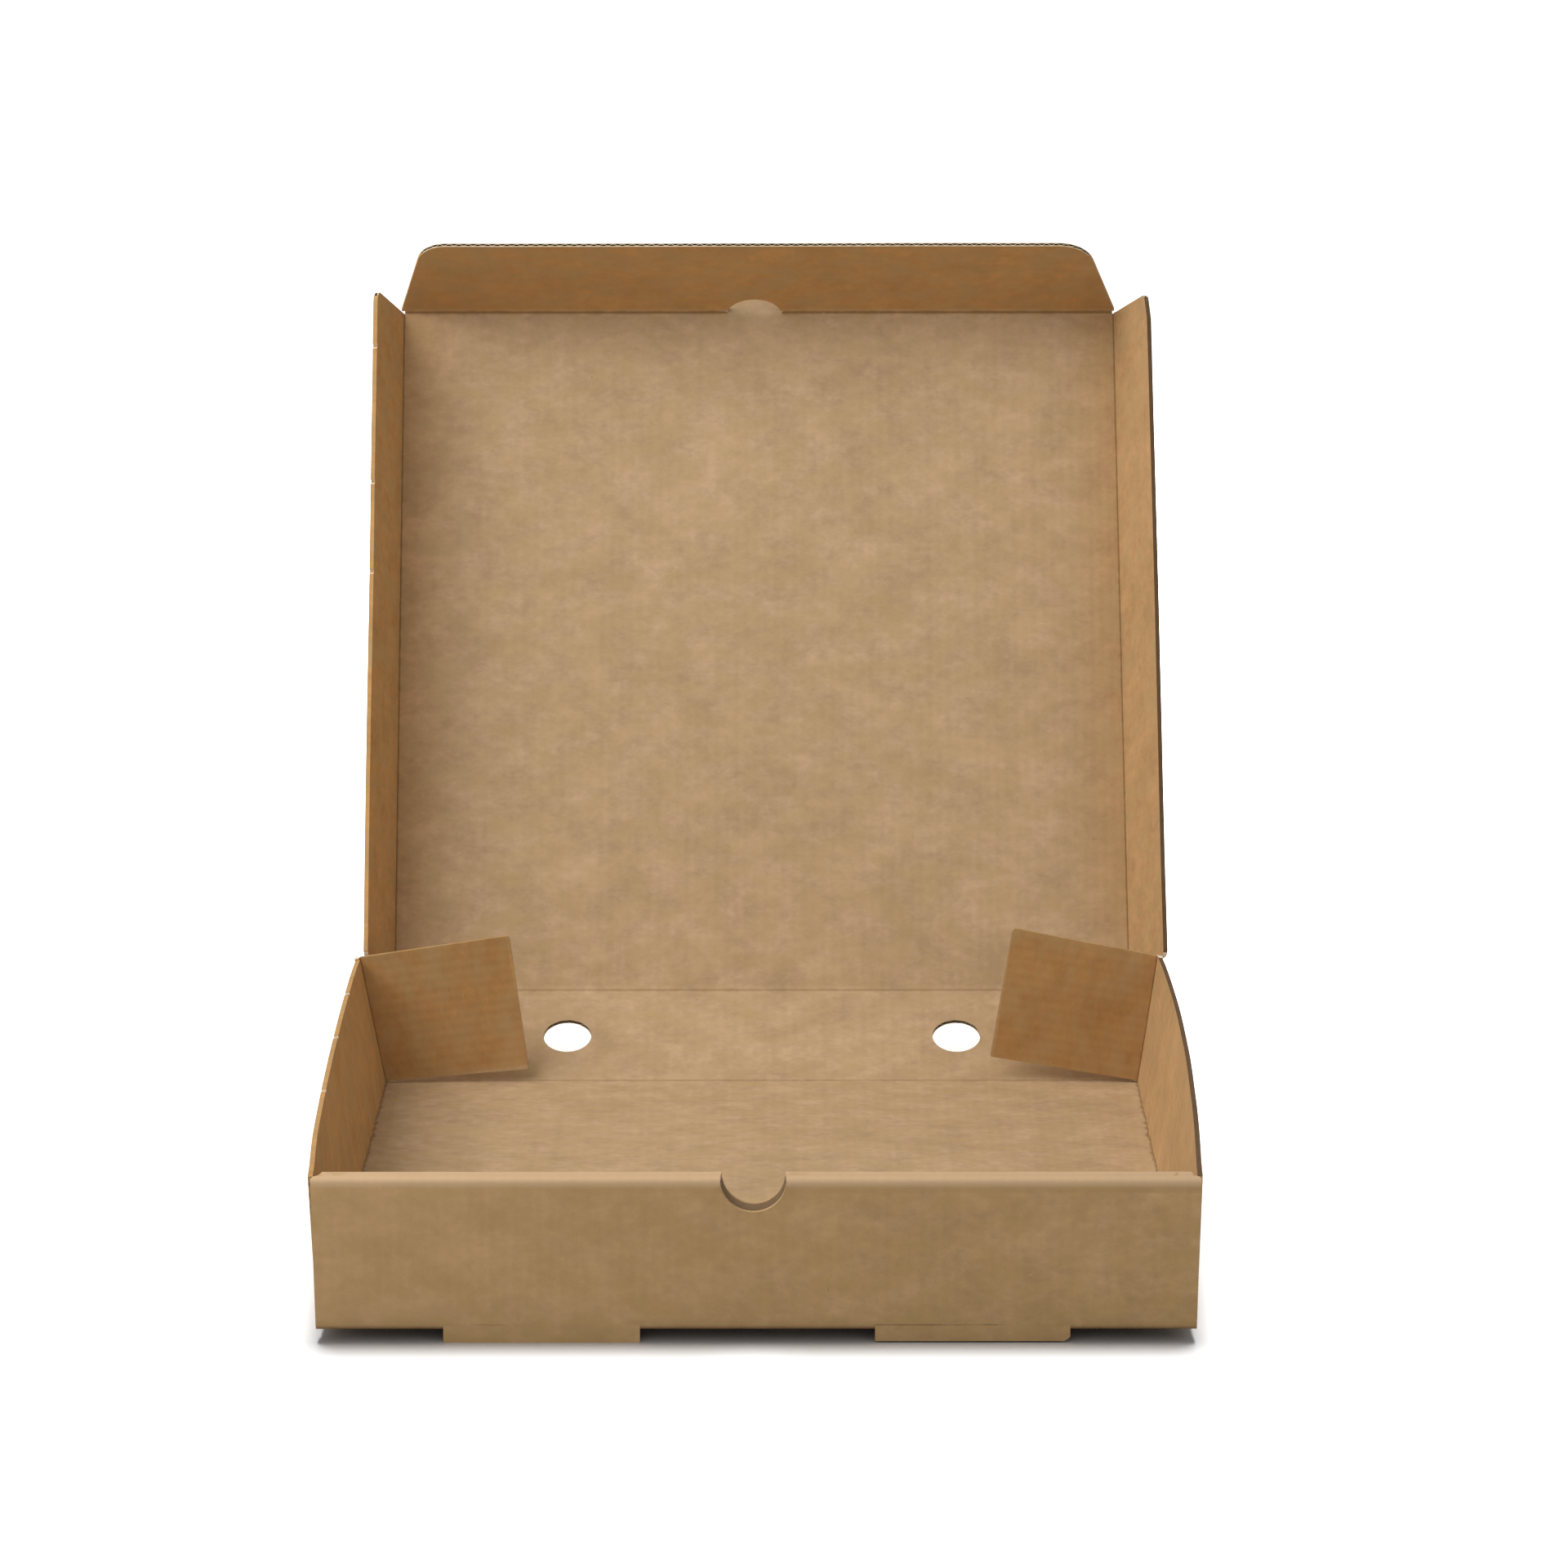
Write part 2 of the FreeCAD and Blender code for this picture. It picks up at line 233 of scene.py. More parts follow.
def cut_flat(outline, holes, cuts_a, cuts_b):
    """The flat outline less its holes, divided along the cuts: points, faces, rim edges."""
    work = bmesh.new()
    edges = []
    for loop in [outline] + list(holes):
        verts = [work.verts.new((a, b, 0)) for a, b in loop]
        for i, vert in enumerate(verts):
            edges.append(work.edges.new((vert, verts[(i + 1) % len(verts)])))
    bmesh.ops.triangle_fill(work, edges=edges, use_beauty=True, normal=(0, 0, 1))
    for direction, cuts in (((1, 0, 0), cuts_a), ((0, 1, 0), cuts_b)):
        for at in cuts:
            whole = work.verts[:] + work.edges[:] + work.faces[:]
            spot = Vector(direction) * at
            bmesh.ops.bisect_plane(work, geom=whole, dist=1e-4, plane_co=spot,
                                   plane_no=direction)
    work.verts.index_update()
    points = [(v.co.x, v.co.y) for v in work.verts]
    faces = [[v.index for v in f.verts] for f in work.faces]
    rim = [[v.index for v in e.verts] for e in work.edges if len(e.link_faces) == 1]
    work.free()
    return points, faces, rim


def along_flutes(a0, b0, a1, b1):
    """Finish of a cut that runs along a flute and is pressed closed; None for an open cut."""
    return INNER if abs(b1 - b0) >= 1.5 * abs(a1 - a0) else None


def add_liner(board, flat, place, blank, low, high, face_low, face_high, closed):
    """A thin closed sheet of paper between the heights low and high."""
    points, faces, rim = flat
    floor = [board.point(place(a, b, low), blank(a, b)) for a, b in points]
    roof = [board.point(place(a, b, high), blank(a, b)) for a, b in points]
    for corners in faces:
        board.face([roof[i] for i in corners], face_high)
        board.face([floor[i] for i in reversed(corners)], face_low)
    for i, k in rim:
        pressed = closed(*points[i], *points[k])
        board.face([floor[i], floor[k], roof[k], roof[i]], EDGE if pressed is None else pressed)


def spans_at(loops, a):
    """Where the line at a lies inside the loops: (from, to) pairs."""
    hits = []
    for loop in loops:
        for i, (a0, b0) in enumerate(loop):
            a1, b1 = loop[(i + 1) % len(loop)]
            if (a0 > a) != (a1 > a):
                hits.append(b0 + (b1 - b0) * (a - a0) / (a1 - a0))
    hits.sort()
    return list(zip(hits[::2], hits[1::2]))


def add_flutes(board, outline, holes, place, blank, rows, sizes):
    """The wavy paper between the liners; its flutes run along b."""
    loops = [outline] + list(holes)
    lowest = min(a for a, b in outline)
    highest = max(a for a, b in outline)
    step = sizes.flute_pitch / WAVE_STEPS
    height = sizes.board / 2 - sizes.liner - sizes.flute_paper / 2
    half = sizes.flute_paper / 2
    count = int((highest - lowest) / step)
    before = []
    for i in range(count + 1):
        a = lowest + EDGE_INSET + (highest - lowest - 2 * EDGE_INSET) * i / count
        wave = height * math.cos(2 * math.pi * a / sizes.flute_pitch)
        strips = []
        for low, high in spans_at(loops, a):
            if high - low < SHORTEST_FLUTE:
                continue
            stops = [low] + [min(max(row, low), high) for row in rows] + [high]
            under = [board.point(place(a, b, wave - half), blank(a, b)) for b in stops]
            over = [board.point(place(a, b, wave + half), blank(a, b)) for b in stops]
            strips.append((low, high, under, over))
        if len(strips) == len(before):
            for (low0, high0, u0, o0), (low1, high1, u1, o1) in zip(before, strips):
                if low0 > high1 or low1 > high0:
                    continue
                for k in range(len(u0) - 1):
                    board.face([o0[k], o1[k], o1[k + 1], o0[k + 1]], FLUTE)
                    board.face([u0[k], u0[k + 1], u1[k + 1], u1[k]], FLUTE)
                board.face([u0[0], u1[0], o1[0], o0[0]], EDGE)
                board.face([u0[-1], o0[-1], o1[-1], u1[-1]], EDGE)
        before = strips


def close_rims(board, flat, place, blank, reach, closed):
    """Fills the gap between the liners along each rim edge that closed gives a finish."""
    points, faces, rim = flat
    for i, k in rim:
        (a0, b0), (a1, b1) = points[i], points[k]
        finish_here = closed(a0, b0, a1, b1)
        if finish_here is None:
            continue
        corners = [board.point(place(a, b, n), blank(a, b))
                   for a, b, n in ((a0, b0, -reach), (a1, b1, -reach),
                                   (a1, b1, reach), (a0, b0, reach))]
        board.face(corners, finish_here)


def spread(low, high, step):
    """Evenly spaced places between low and high."""
    count = max(1, round((high - low) / step))
    return [low + (high - low) * i / count for i in range(1, count)]


def add_panel(board, outline, holes, place, blank, sizes, bends_a=(), bends_b=(), step=7,
              closed=along_flutes):
    """One panel of fluted board: two liners with the flutes between them."""
    lows = [min(p[i] for p in outline) for i in (0, 1)]
    highs = [max(p[i] for p in outline) for i in (0, 1)]
    cuts_a = sorted(spread(lows[0], highs[0], step) + list(bends_a))
    cuts_b = sorted(spread(lows[1], highs[1], step) + list(bends_b))
    flat = cut_flat(outline, holes, cuts_a, cuts_b)
    half = sizes.board / 2
    add_liner(board, flat, place, blank, half - sizes.liner, half, FLUTE, INNER, closed)
    add_liner(board, flat, place, blank, -half, sizes.liner - half, OUTER, FLUTE, closed)
    rows = sorted(spread(lows[1], highs[1], FLUTE_ROW) + list(bends_b))
    add_flutes(board, outline, holes, place, blank, rows, sizes)
    close_rims(board, flat, place, blank, half - sizes.liner, closed)


def flat_place(origin, across, along, inner, warp=None):
    """Places a panel's (a, b, n) on a plane, with an optional warp of its height."""
    def place(a, b, n):
        lift = warp(a, b) if warp else 0
        return origin + across * a + along * b + inner * (n + lift)
    return place


class BentPath:
    """A folded line through corners in a plane, each bend rounded by radius."""

    def __init__(self, corners, radius):
        self.parts = []
        self.length = 0
        corners = [Vector(c) for c in corners]
        start = corners[0]
        for before, here, after in zip(corners, corners[1:], corners[2:]):
            d0 = (here - before).normalized()
            d1 = (after - here).normalized()
            turn = math.atan2(d0.cross(d1), d0.dot(d1))
            reach = radius * math.tan(abs(turn) / 2)
            self.add_run(start, here - d0 * reach)
            self.parts.append(("bend", self.length, radius * abs(turn),
                               here - d0 * reach, d0, turn))
            self.length += radius * abs(turn)
            start = here + d1 * reach
        self.add_run(start, corners[-1])
        self.radius = radius

    def add_run(self, start, end):
        reach = (end - start).length
        self.parts.append(("run", self.length, reach, start, (end - start).normalized(), 0))
        self.length += reach

    def bends(self, count=4):
        """Distances along the path that divide its bends."""
        places = []
        for kind, start, reach, point, heading, turn in self.parts:
            if kind == "bend":
                places += [start + reach * i / count for i in range(count + 1)]
        return places

    def at(self, distance):
        """Point and left-hand normal at a distance along the path."""
        for kind, start, reach, point, heading, turn in self.parts:
            if distance <= start + reach + 1e-9:
                break
        run = distance - start
        if kind == "run":
            return point + heading * run, Vector((-heading.y, heading.x))
        side = 1 if turn > 0 else -1
        angle = side * run / self.radius
        left = Vector((-heading.y, heading.x))
        centre = point + left * side * self.radius
        turned = Matrix.Rotation(angle, 2) @ left
        return centre - turned * side * self.radius, turned


def add_crease(board, origin, p, q, p_inner, q_inner, ends, blank, sizes):
    """Paper skin over a fold across the box: rounded outside, a soft valley inside."""
    half = sizes.board / 2 + FOLD_LIFT
    turn = p_inner.angle(q_inner)
    section = []
    for i in range(FOLD_STEPS + 1):
        share = i / FOLD_STEPS
        normal = p_inner.slerp(q_inner, share) if turn > 1e-3 else p_inner
        section.append((-normal * half, OUTER))
    section.insert(0, (p * FOLD_REACH - p_inner * half, OUTER))
    section.append((q * FOLD_REACH - q_inner * half, OUTER))
    start = p * FOLD_REACH + p_inner * half
    end = q * FOLD_REACH + q_inner * half
    valley = p_inner.slerp(q_inner, 0.5) * half / math.cos(turn / 2)
    for i in range(FOLD_STEPS + 1):
        t = 1 - i / FOLD_STEPS
        spot = start * (1 - t) ** 2 + valley * 2 * t * (1 - t) + end * t ** 2
        section.append((spot, INNER))
    rings = []
    for at in ends:
        ring = []
        for spot, finish in section:
            across = (spot.dot(q) - spot.dot(p)) / 2
            ring.append(board.point(origin + X * at + spot, blank(across, at)))
        rings.append(ring)
    total = len(section)
    for low, high in zip(rings, rings[1:]):
        for i in range(total):
            k = (i + 1) % total
            finish = section[i][1] if section[i][1] == section[k][1] else EDGE
            board.face([low[i], low[k], high[k], high[i]], finish)
    board.face(list(reversed(rings[0])), EDGE)
    board.face(rings[-1], EDGE)


def add_rounded_end(board, origin, along, away, inner, turn, ends, blank, sizes):
    """Paper that wraps one panel's end, half round about the line of its fold.

    turn is the fold's angle in degrees; away points from the fold into the panel."""
    half = sizes.board / 2 + FOLD_LIFT
    corner = half * math.tan(math.radians(turn) / 2)
    section = [(away * FOLD_REACH + inner * half, INNER),
               (away * corner + inner * half, INNER)]
    for i in range(FOLD_STEPS + 1):
        around = math.pi * i / FOLD_STEPS
        spot = inner * half * math.cos(around) - away * half * math.sin(around)
        section.append((spot, INNER if i < FOLD_STEPS / 2 else OUTER))
    section.append((away * FOLD_REACH - inner * half, OUTER))
    rings = []
    for at in ends:
        rings.append([board.point(origin + along * at + spot,
                                  blank(spot.dot(away), at, abs(spot.dot(away) - corner)))
                      for spot, finish in section])
    total = len(section)
    for low, high in zip(rings, rings[1:]):
        for i in range(total):
            k = (i + 1) % total
            board.face([low[i], low[k], high[k], high[i]], section[min(i, k)][1])
    board.face(list(reversed(rings[0])), EDGE)
    board.face(rings[-1], EDGE)


class Sizes:
    """The sizes of the property group, in millimetres and degrees."""

    def __init__(self):
        group = bpy.context.scene.pizza_box_sizes
        for name in group.bl_rna.properties.keys():
            if name in {"rna_type", "name"}:
                continue
            value = getattr(group, name)
            if group.bl_rna.properties[name].unit == "ROTATION":
                value = math.degrees(value)
            else:
                value = value / MM
            setattr(self, name, value)


# Outward splay of each side wall's top edge, by distance from the front; where the wall ends.
WALL_SPLAY = {
    "left": [(0, 1.7), (43, 4.4), (85, 5.8), (133, 7.1), (176, 7.8), (235, 8.2), (255, 8.6)],
    "right": [(0, 0.9), (40, 3.2), (67, 4.7), (129, 7.2), (181, 7.9), (230, 7.2), (255, 6.3)],
}
WALL_REAR = 251.3

# Height at which the splay is measured.
SPLAY_HEIGHT = 46

# Radius of the bend from the bottom to a side wall, and half the flat bottom's width.
BEND_RADIUS = 1.0
BOTTOM_HALF = 125.8

# Height of the middle of the bottom's board.
BOTTOM_MIDDLE = 0.75

# Sideways place of the thumb notch's middle and of the lid's half-moon tab.
NOTCH_MIDDLE = -0.9
TAB_MIDDLE = -3.0

# The tab's arc, whose centre is a little behind the front crease.
TAB_RADIUS = 9.9
TAB_SET_BACK = 2.3

# Sideways places of the lid's side folds: at the rear, at the front.
LID_CREASE = {"left": (-126.6, -127.4), "right": (126.4, 124.4)}

# A distance from any fold at which its painted shade inside, and its wear outside, no longer
# show.
FAR = 30.0


def smooth_between(table, at):
    """Like between, but without corners at the table's places."""
    reach = 14
    return (between(table, at - reach) + 2 * between(table, at)
            + between(table, at + reach)) / 4


def tray_place(a, b, n):
    """The tray's sheet: bottom between the bends, a side wall beyond each."""
    side, name = (1, "right") if a > 0 else (-1, "left")
    run = abs(a) - BOTTOM_HALF
    y = FRONT + b
    if run <= 0:
        lift = 0.25 * abs(noise.noise(Vector((a / 70, b / 70, 3))))
        fade = min(1, -run / 20)
        return Vector((a, y, BOTTOM_MIDDLE + n + lift * fade))
    tilt = math.atan(smooth_between(WALL_SPLAY[name], b) / SPLAY_HEIGHT)
    turn = math.pi / 2 - tilt
    bent = min(run / BEND_RADIUS, turn)
    x = BOTTOM_HALF + BEND_RADIUS * math.sin(bent)
    z = BOTTOM_MIDDLE + BEND_RADIUS * (1 - math.cos(bent))
    straight = max(0, run - BEND_RADIUS * turn)
    n += ripple(b, a, 11) * 0.5 * min(1, straight / 12)
    x += straight * math.cos(turn) - n * math.sin(bent)
    z += straight * math.sin(turn) + n * math.cos(bent)
    return Vector((side * x, y, z))


def make_tray_sheet(sizes, materials):
    """Bottom and both side walls, one sheet of board bent along two creases."""
    bend_end = BOTTOM_HALF + BEND_RADIUS * math.pi / 2
    top = bend_end + sizes.wall_height - 1.75
    rear = REAR_FOLD - FOLD_GAP
    wall_front = 1.9
    left_edge = [(-top + 0.9, WALL_REAR), (-top + 0.3, 236), (-top, 224)]
    nicks = ((204.5, 0.7), (152, 0.8), (91, 0.7))
    for at, deep in nicks:
        left_edge += [(-top, at + 1.1), (-top + deep, at + 0.5), (-top + deep * 0.5, at - 0.3),
                      (-top, at - 0.9)]
    corner = BOTTOM_HALF + 1.4
    outline = [(-corner, rear - 0.4), (-corner, WALL_REAR)] + left_edge + [
        (-top, wall_front), (-BOTTOM_HALF, wall_front), (-BOTTOM_HALF, FRONT_FOLD),
        (BOTTOM_HALF, FRONT_FOLD), (BOTTOM_HALF, wall_front), (top, wall_front),
        (top, 240), (top - 0.4, WALL_REAR), (corner, WALL_REAR), (corner, rear - 0.4)]
    bends = []
    for share in (0, 0.25, 0.5, 0.75, 1):
        at = BOTTOM_HALF + share * (bend_end - BOTTOM_HALF)
        bends += [-at, at]

    def blank(a, b):
        return (a, b, abs(abs(a) - BOTTOM_HALF - 0.8))

    def closed(a0, b0, a1, b1):
        if max(b0, b1) < 3:
            return OUTER
        if along_flutes(a0, b0, a1, b1) is None:
            return EDGE if b1 < WALL_REAR - 10 else None
        # Cut rims along the flutes: painted shade, the dark flute finish, on the right-hand
        # wall; the inside liner's colour on the left.
        return FLUTE if a0 > 0 else INNER

    board = BoardMesh()
    add_panel(board, outline, [], tray_place, blank, sizes, bends_a=bends, closed=closed)
    for name, side in SIDES:
        origin, up, out, inner = dust_flap_frame(name, side)
        wall_inner = Vector((-side, 0, 0)) - up * up.dot(Vector((-side, 0, 0)))

        def end_blank(across, at, fold, side=side):
            return (side * (SIDE_FOLD + at), DUST_FOLD - across, fold)

        add_rounded_end(board, origin, up, Vector((0, -1, 0)), wall_inner.normalized(), 90,
                        DUST_ENDS, end_blank, sizes)
    return board.make("tray_sheet", materials)


def front_wall_path():
    """The front wall's folded line, in (y, z): up the front, over the top, down inside."""
    return BentPath([(FRONT_FOLD, BOTTOM_MIDDLE), (0.75, BOTTOM_MIDDLE), (0.75, 45.25),
                     (6.85, 45.25), (4.4, 0.9)], 0.8)


def make_front_wall(sizes, materials):
    """Front wall rolled over into two layers, with its thumb notch and two feet."""
    path = front_wall_path()
    bends = path.bends()
    bottom_fold = bends[4]
    first_middle = (bends[5] + bends[9]) / 2
    second_middle = (bends[10] + bends[14]) / 2
    full = sizes.box_width / 2
    inset = full - 2.6
    end = path.length
    feet = {"left": (-90.9, -33.9, 3.8), "right": (34.3, 90.9, 3.35)}
    flare_left, flare_right = full + 1.1, full + 0.8
    outline = [(-full - 0.3, 0), (feet["left"][0], 0), (feet["left"][0], bottom_fold),
               (feet["left"][1], bottom_fold), (feet["left"][1], 0),
               (feet["right"][0], 0), (feet["right"][0], bottom_fold),
               (feet["right"][1], bottom_fold), (feet["right"][1], 0), (full, 0),
               (flare_right, first_middle), (full - 1, first_middle + 2.1),
               (full - 2, second_middle), (inset, second_middle + 3), (inset, end),
               (-inset, end), (-inset, second_middle + 3), (2 - full, second_middle),
               (1 - full, first_middle + 2.1), (-flare_left, first_middle)]
    notch = arc(NOTCH_MIDDLE, first_middle + 0.25, 9.6, 180, 360, 24)
    notch += arc(NOTCH_MIDDLE, second_middle - 0.6, 9.2, 0, 180, 24)

    def place(a, b, n):
        spot, left = path.at(min(b, end))
        near_fold = max(0, 1 - min(abs(b - first_middle), abs(b - second_middle)) / 3)
        n += 0.1 * noise.noise(Vector((a / 6, b / 9, 21))) * near_fold
        n += 0.3 * ripple(a, b, 22) * min(1, abs(b - bottom_fold) / 10)
        spot = spot - left * n
        return Vector((a, FRONT + spot.x, spot.y))

    def blank(a, b):
        return (a, FRONT_FOLD - b, min(abs(b - first_middle), abs(b - second_middle)))

    def closed(a0, b0, a1, b1):
        return OUTER

    board = BoardMesh()
    add_panel(board, outline, [notch], place, blank, sizes, bends_a=[-inset, inset],
              bends_b=bends, closed=closed)
    foot_top = 1.75
    foot = flat_place(Vector((0, FRONT + 0.75, foot_top)), X, Vector((0, 0, -1)),
                      Vector((0, 1, 0)))

    def foot_blank(a, b):
        return (a, FRONT_FOLD - bottom_fold + b, FAR)

    for name, (start, stop, deep) in feet.items():
        chamfer = 0.3 if name == "left" else 1.6
        bottom = foot_top + deep
        shape = [(start, 0), (start, bottom), (stop - chamfer, bottom),
                 (stop, bottom - chamfer * 0.8), (stop, 0)]
        add_panel(board, shape, [], foot, foot_blank, sizes)
    return board.make("front_wall", materials)


def make_corner_tabs(sizes, materials):
    """The side walls' front tabs, caught between the layers of the front wall."""
    board = BoardMesh()
    for name, side in SIDES:
        place = flat_place(Vector((side * 125.6, FRONT + 2.55, 0.9)), X * -side,
                           Vector((0, 0, 1)), Vector((0, 1, 0)))

        def blank(a, b, side=side):
            return (side * (130 + b), 30 - a, FAR)

        add_panel(board, [(0, 1.2), (0, 42.5), (38, 42.5), (38, 1.2)], [], place, blank, sizes)
    return board.make("corner_tabs", materials)


def make_back_wall(sizes, materials):
    """Rear wall laid back, with its two round vents."""
    along, inner = panel_directions(sizes.back_wall_angle)
    low, high = FOLD_GAP, sizes.back_wall_height - FOLD_GAP
    base, top = sizes.back_wall_base_width / 2, sizes.back_wall_top_width / 2
    outline = [(-base, low), (base, low), (top, high), (-top, high)]
    vent_aside, vent_height, sides = 65.95, 22.9, 48
    vents = [arc(side * vent_aside, vent_height, sizes.vent_radius,
                 0, 360 - 360 / sides, sides - 1) for name, side in SIDES]

    def warp(a, b):
        return 0.6 * ripple(a, b, 31) * min(1, (b - low) / 9, (high - b) / 9)

    place = flat_place(joint_point("back_wall_hinge"), X, along, inner, warp)

    def blank(a, b):
        return (a, REAR_FOLD + b, FOLD_GAP + min(b - low, high - b))

    board = BoardMesh()
    add_panel(board, outline, vents, place, blank, sizes, step=6)
    return board.make("back_wall_panel", materials)


def lid_edge(name, b, length):
    """Sideways place of the lid's crease line at a distance from the rear crease."""
    rear, front = LID_CREASE[name]
    return rear + (front - rear) * b / length


def make_lid(sizes, materials):
    """The lid with the half-moon tab at its front."""
    along, inner = panel_directions(sizes.lid_angle)
    length = sizes.lid_length
    low, high = FOLD_GAP, length - FOLD_GAP
    reach = math.degrees(math.asin((TAB_SET_BACK - FOLD_GAP) / TAB_RADIUS))
    tab = arc(TAB_MIDDLE, length - TAB_SET_BACK, TAB_RADIUS, reach, 180 - reach, 24)
    outline = [(lid_edge("left", low, length) + FOLD_GAP, low),
               (lid_edge("right", low, length) - FOLD_GAP, low),
               (lid_edge("right", high, length) - FOLD_GAP, high)]
    outline += tab + [(lid_edge("left", high, length) + FOLD_GAP, high)]

    def warp(a, b):
        fade = min(b - low, high - b, 125 - abs(a)) / 12
        return ripple(a, b, 41) * min(1, max(0, fade))

    place = flat_place(joint_point("lid_hinge"), X, along, inner, warp)

    def blank(a, b):
        sides = min(a - lid_edge("left", b, length), lid_edge("right", b, length) - a)
        front = abs(b - length) if abs(a - TAB_MIDDLE) > TAB_RADIUS else FAR
        return (a, LID_FOLD + length - 1 - abs(length - 1 - b), min(b, sides, front))

    board = BoardMesh()
    add_panel(board, outline, [], place, blank, sizes, step=8)
    for name, side in SIDES:
        origin, crease, out, flap_inner, lid_inner = side_flap_frame(name, side, sizes)

        def end_blank(across, at, fold, side=side):
            return (side * (SIDE_FOLD - across), LID_FOLD + at, fold)

        add_rounded_end(board, origin, crease, X * -side, lid_inner,
                        getattr(sizes, "side_flap_angle_" + name), side_flap_stops(sizes),
                        end_blank, sizes)
    return board.make("lid_panel_board", materials)


def make_tuck_flap(sizes, materials):
    """Flap on the lid's front edge, cut out around the lid's tab."""
    along, inner = panel_directions(sizes.lid_angle + sizes.tuck_angle)
    low = FOLD_GAP
    left, right = LID_CREASE["left"][1] + 0.25, LID_CREASE["right"][1] - 0.25
    radius = TAB_RADIUS + 0.12
    reach = math.degrees(math.asin((low + TAB_SET_BACK) / radius))
    outline = rounded([(left - 0.5, low, 0), (left + 8.9, sizes.tuck_depth, 10),
                       (right - 11.5, sizes.tuck_depth, 13), (right, low, 0)])
    outline = list(reversed(outline))
    outline += arc(TAB_MIDDLE, -TAB_SET_BACK, radius, 180 - reach, reach, 24)

    def warp(a, b):
        return 0.5 * ripple(a, b, 51) * min(1, (b - low) / 10)

    place = flat_place(joint_point("tuck_flap_hinge"), X, along, inner, warp)

    def blank(a, b):
        return (a, TUCK_FOLD + b, b)

    board = BoardMesh()
    add_panel(board, outline, [], place, blank, sizes, step=6)
    return board.make("tuck_flap_board", materials)


def side_flap_stops(sizes):
    """Places along a side flap's crease: its rear end, divisions and front end."""
    rear, front = 3.0, sizes.lid_length - 1.2
    return [rear] + spread(rear, front, 8) + [front]


def side_flap_frame(name, side, sizes):
    """Origin, crease direction, panel direction and inner normal of a lid side flap."""
    along, lid_inner = panel_directions(sizes.lid_angle)
    rear, front = LID_CREASE[name]
    slant = Vector((front - rear, 0, 0)) / sizes.lid_length
    crease = (along + slant).normalized()
    fold = math.radians(getattr(sizes, "side_flap_angle_" + name))
    out = X * side * math.cos(fold) + lid_inner * math.sin(fold)
    inner = X * -side * math.sin(fold) + lid_inner * math.cos(fold)
    origin = joint_point("lid_hinge") + X * rear
    return origin, crease, out, inner, lid_inner


def make_side_flap(name, side, sizes, materials):
    """Flap on one side edge of the lid."""
    origin, crease, out, inner, lid_inner = side_flap_frame(name, side, sizes)
    depth = sizes.side_flap_depth + {"left": 0.35, "right": 0}[name]
    stops = side_flap_stops(sizes)
    rear, front = stops[0], stops[-1]
    low = FOLD_GAP
    nicks = {"left": (139, 171, 220), "right": ()}[name]
    corners = [(low, rear, 0), (depth, rear + 2, 2.2)]
    for at in nicks:
        corners += [(depth, at - 0.9, 0), (depth - 0.4, at - 0.4, 0),
                    (depth - 0.8, at + 0.4, 0), (depth, at + 0.9, 0)]
    tip = {"left": [(depth, front - 4, 4.5)],
           "right": [(depth, front - 14, 3), (depth - 2.6, front - 4.6, 2.5)]}[name]
    shape = rounded(corners + tip + [(low, front, 0)])

    def warp(a, b):
        return 0.7 * ripple(a, b, 61 + side) * min(1, (a - low) / 10)

    place = flat_place(origin, out, crease, inner, warp)

    def blank(a, b):
        return (side * (SIDE_FOLD + a), LID_FOLD + b, a)

    def closed(a0, b0, a1, b1):
        if along_flutes(a0, b0, a1, b1) is None:
            return EDGE if a0 > 30 and b0 < front - 20 else None
        # Cut rims along the flutes: painted shade, the dark flute finish, on the right-hand
        # flap; the inside liner's colour on the left.
        return FLUTE if side > 0 else INNER

    def end_blank(across, at, fold):
        return (side * (SIDE_FOLD + across), LID_FOLD + at, fold)

    board = BoardMesh()
    add_panel(board, shape, [], place, blank, sizes, step=6, closed=closed)
    add_rounded_end(board, origin, crease, out, inner,
                    getattr(sizes, "side_flap_angle_" + name), stops, end_blank, sizes)
    return board.make("lid_side_flap_%s_board" % name, materials)


# Backward turn of each dust flap beyond square and rise towards its free end, in degrees.
DUST_TURN = {"left": 0.5, "right": 0.0}
DUST_RISE = {"left": 7.3, "right": 9.6}

# Top of a dust flap above its lower end, and where its fold stands.
DUST_TOP = 44
DUST_FOOT = (252.35, 1.7)

# Heights along a dust flap's fold where its rounded paper is divided.
DUST_ENDS = (0.1, 11, 22, 33, DUST_TOP)


def dust_flap_frame(name, side):
    """Origin, crease direction, panel direction and inner normal of a dust flap."""
    slope = smooth_between(WALL_SPLAY[name], WALL_REAR) / SPLAY_HEIGHT
    up = Vector((side * slope, 0, 1)).normalized()
    rise = math.tan(math.radians(DUST_RISE[name]))
    back = math.tan(math.radians(DUST_TURN[name]))
    out = Vector((-side, back, rise)).normalized()
    inner = up.cross(out).normalized()
    if inner.y > 0:
        inner.negate()
    x = side * (BOTTOM_HALF + BEND_RADIUS + slope * 0.9)
    return Vector((x, FRONT + DUST_FOOT[0], DUST_FOOT[1])), up, out, inner


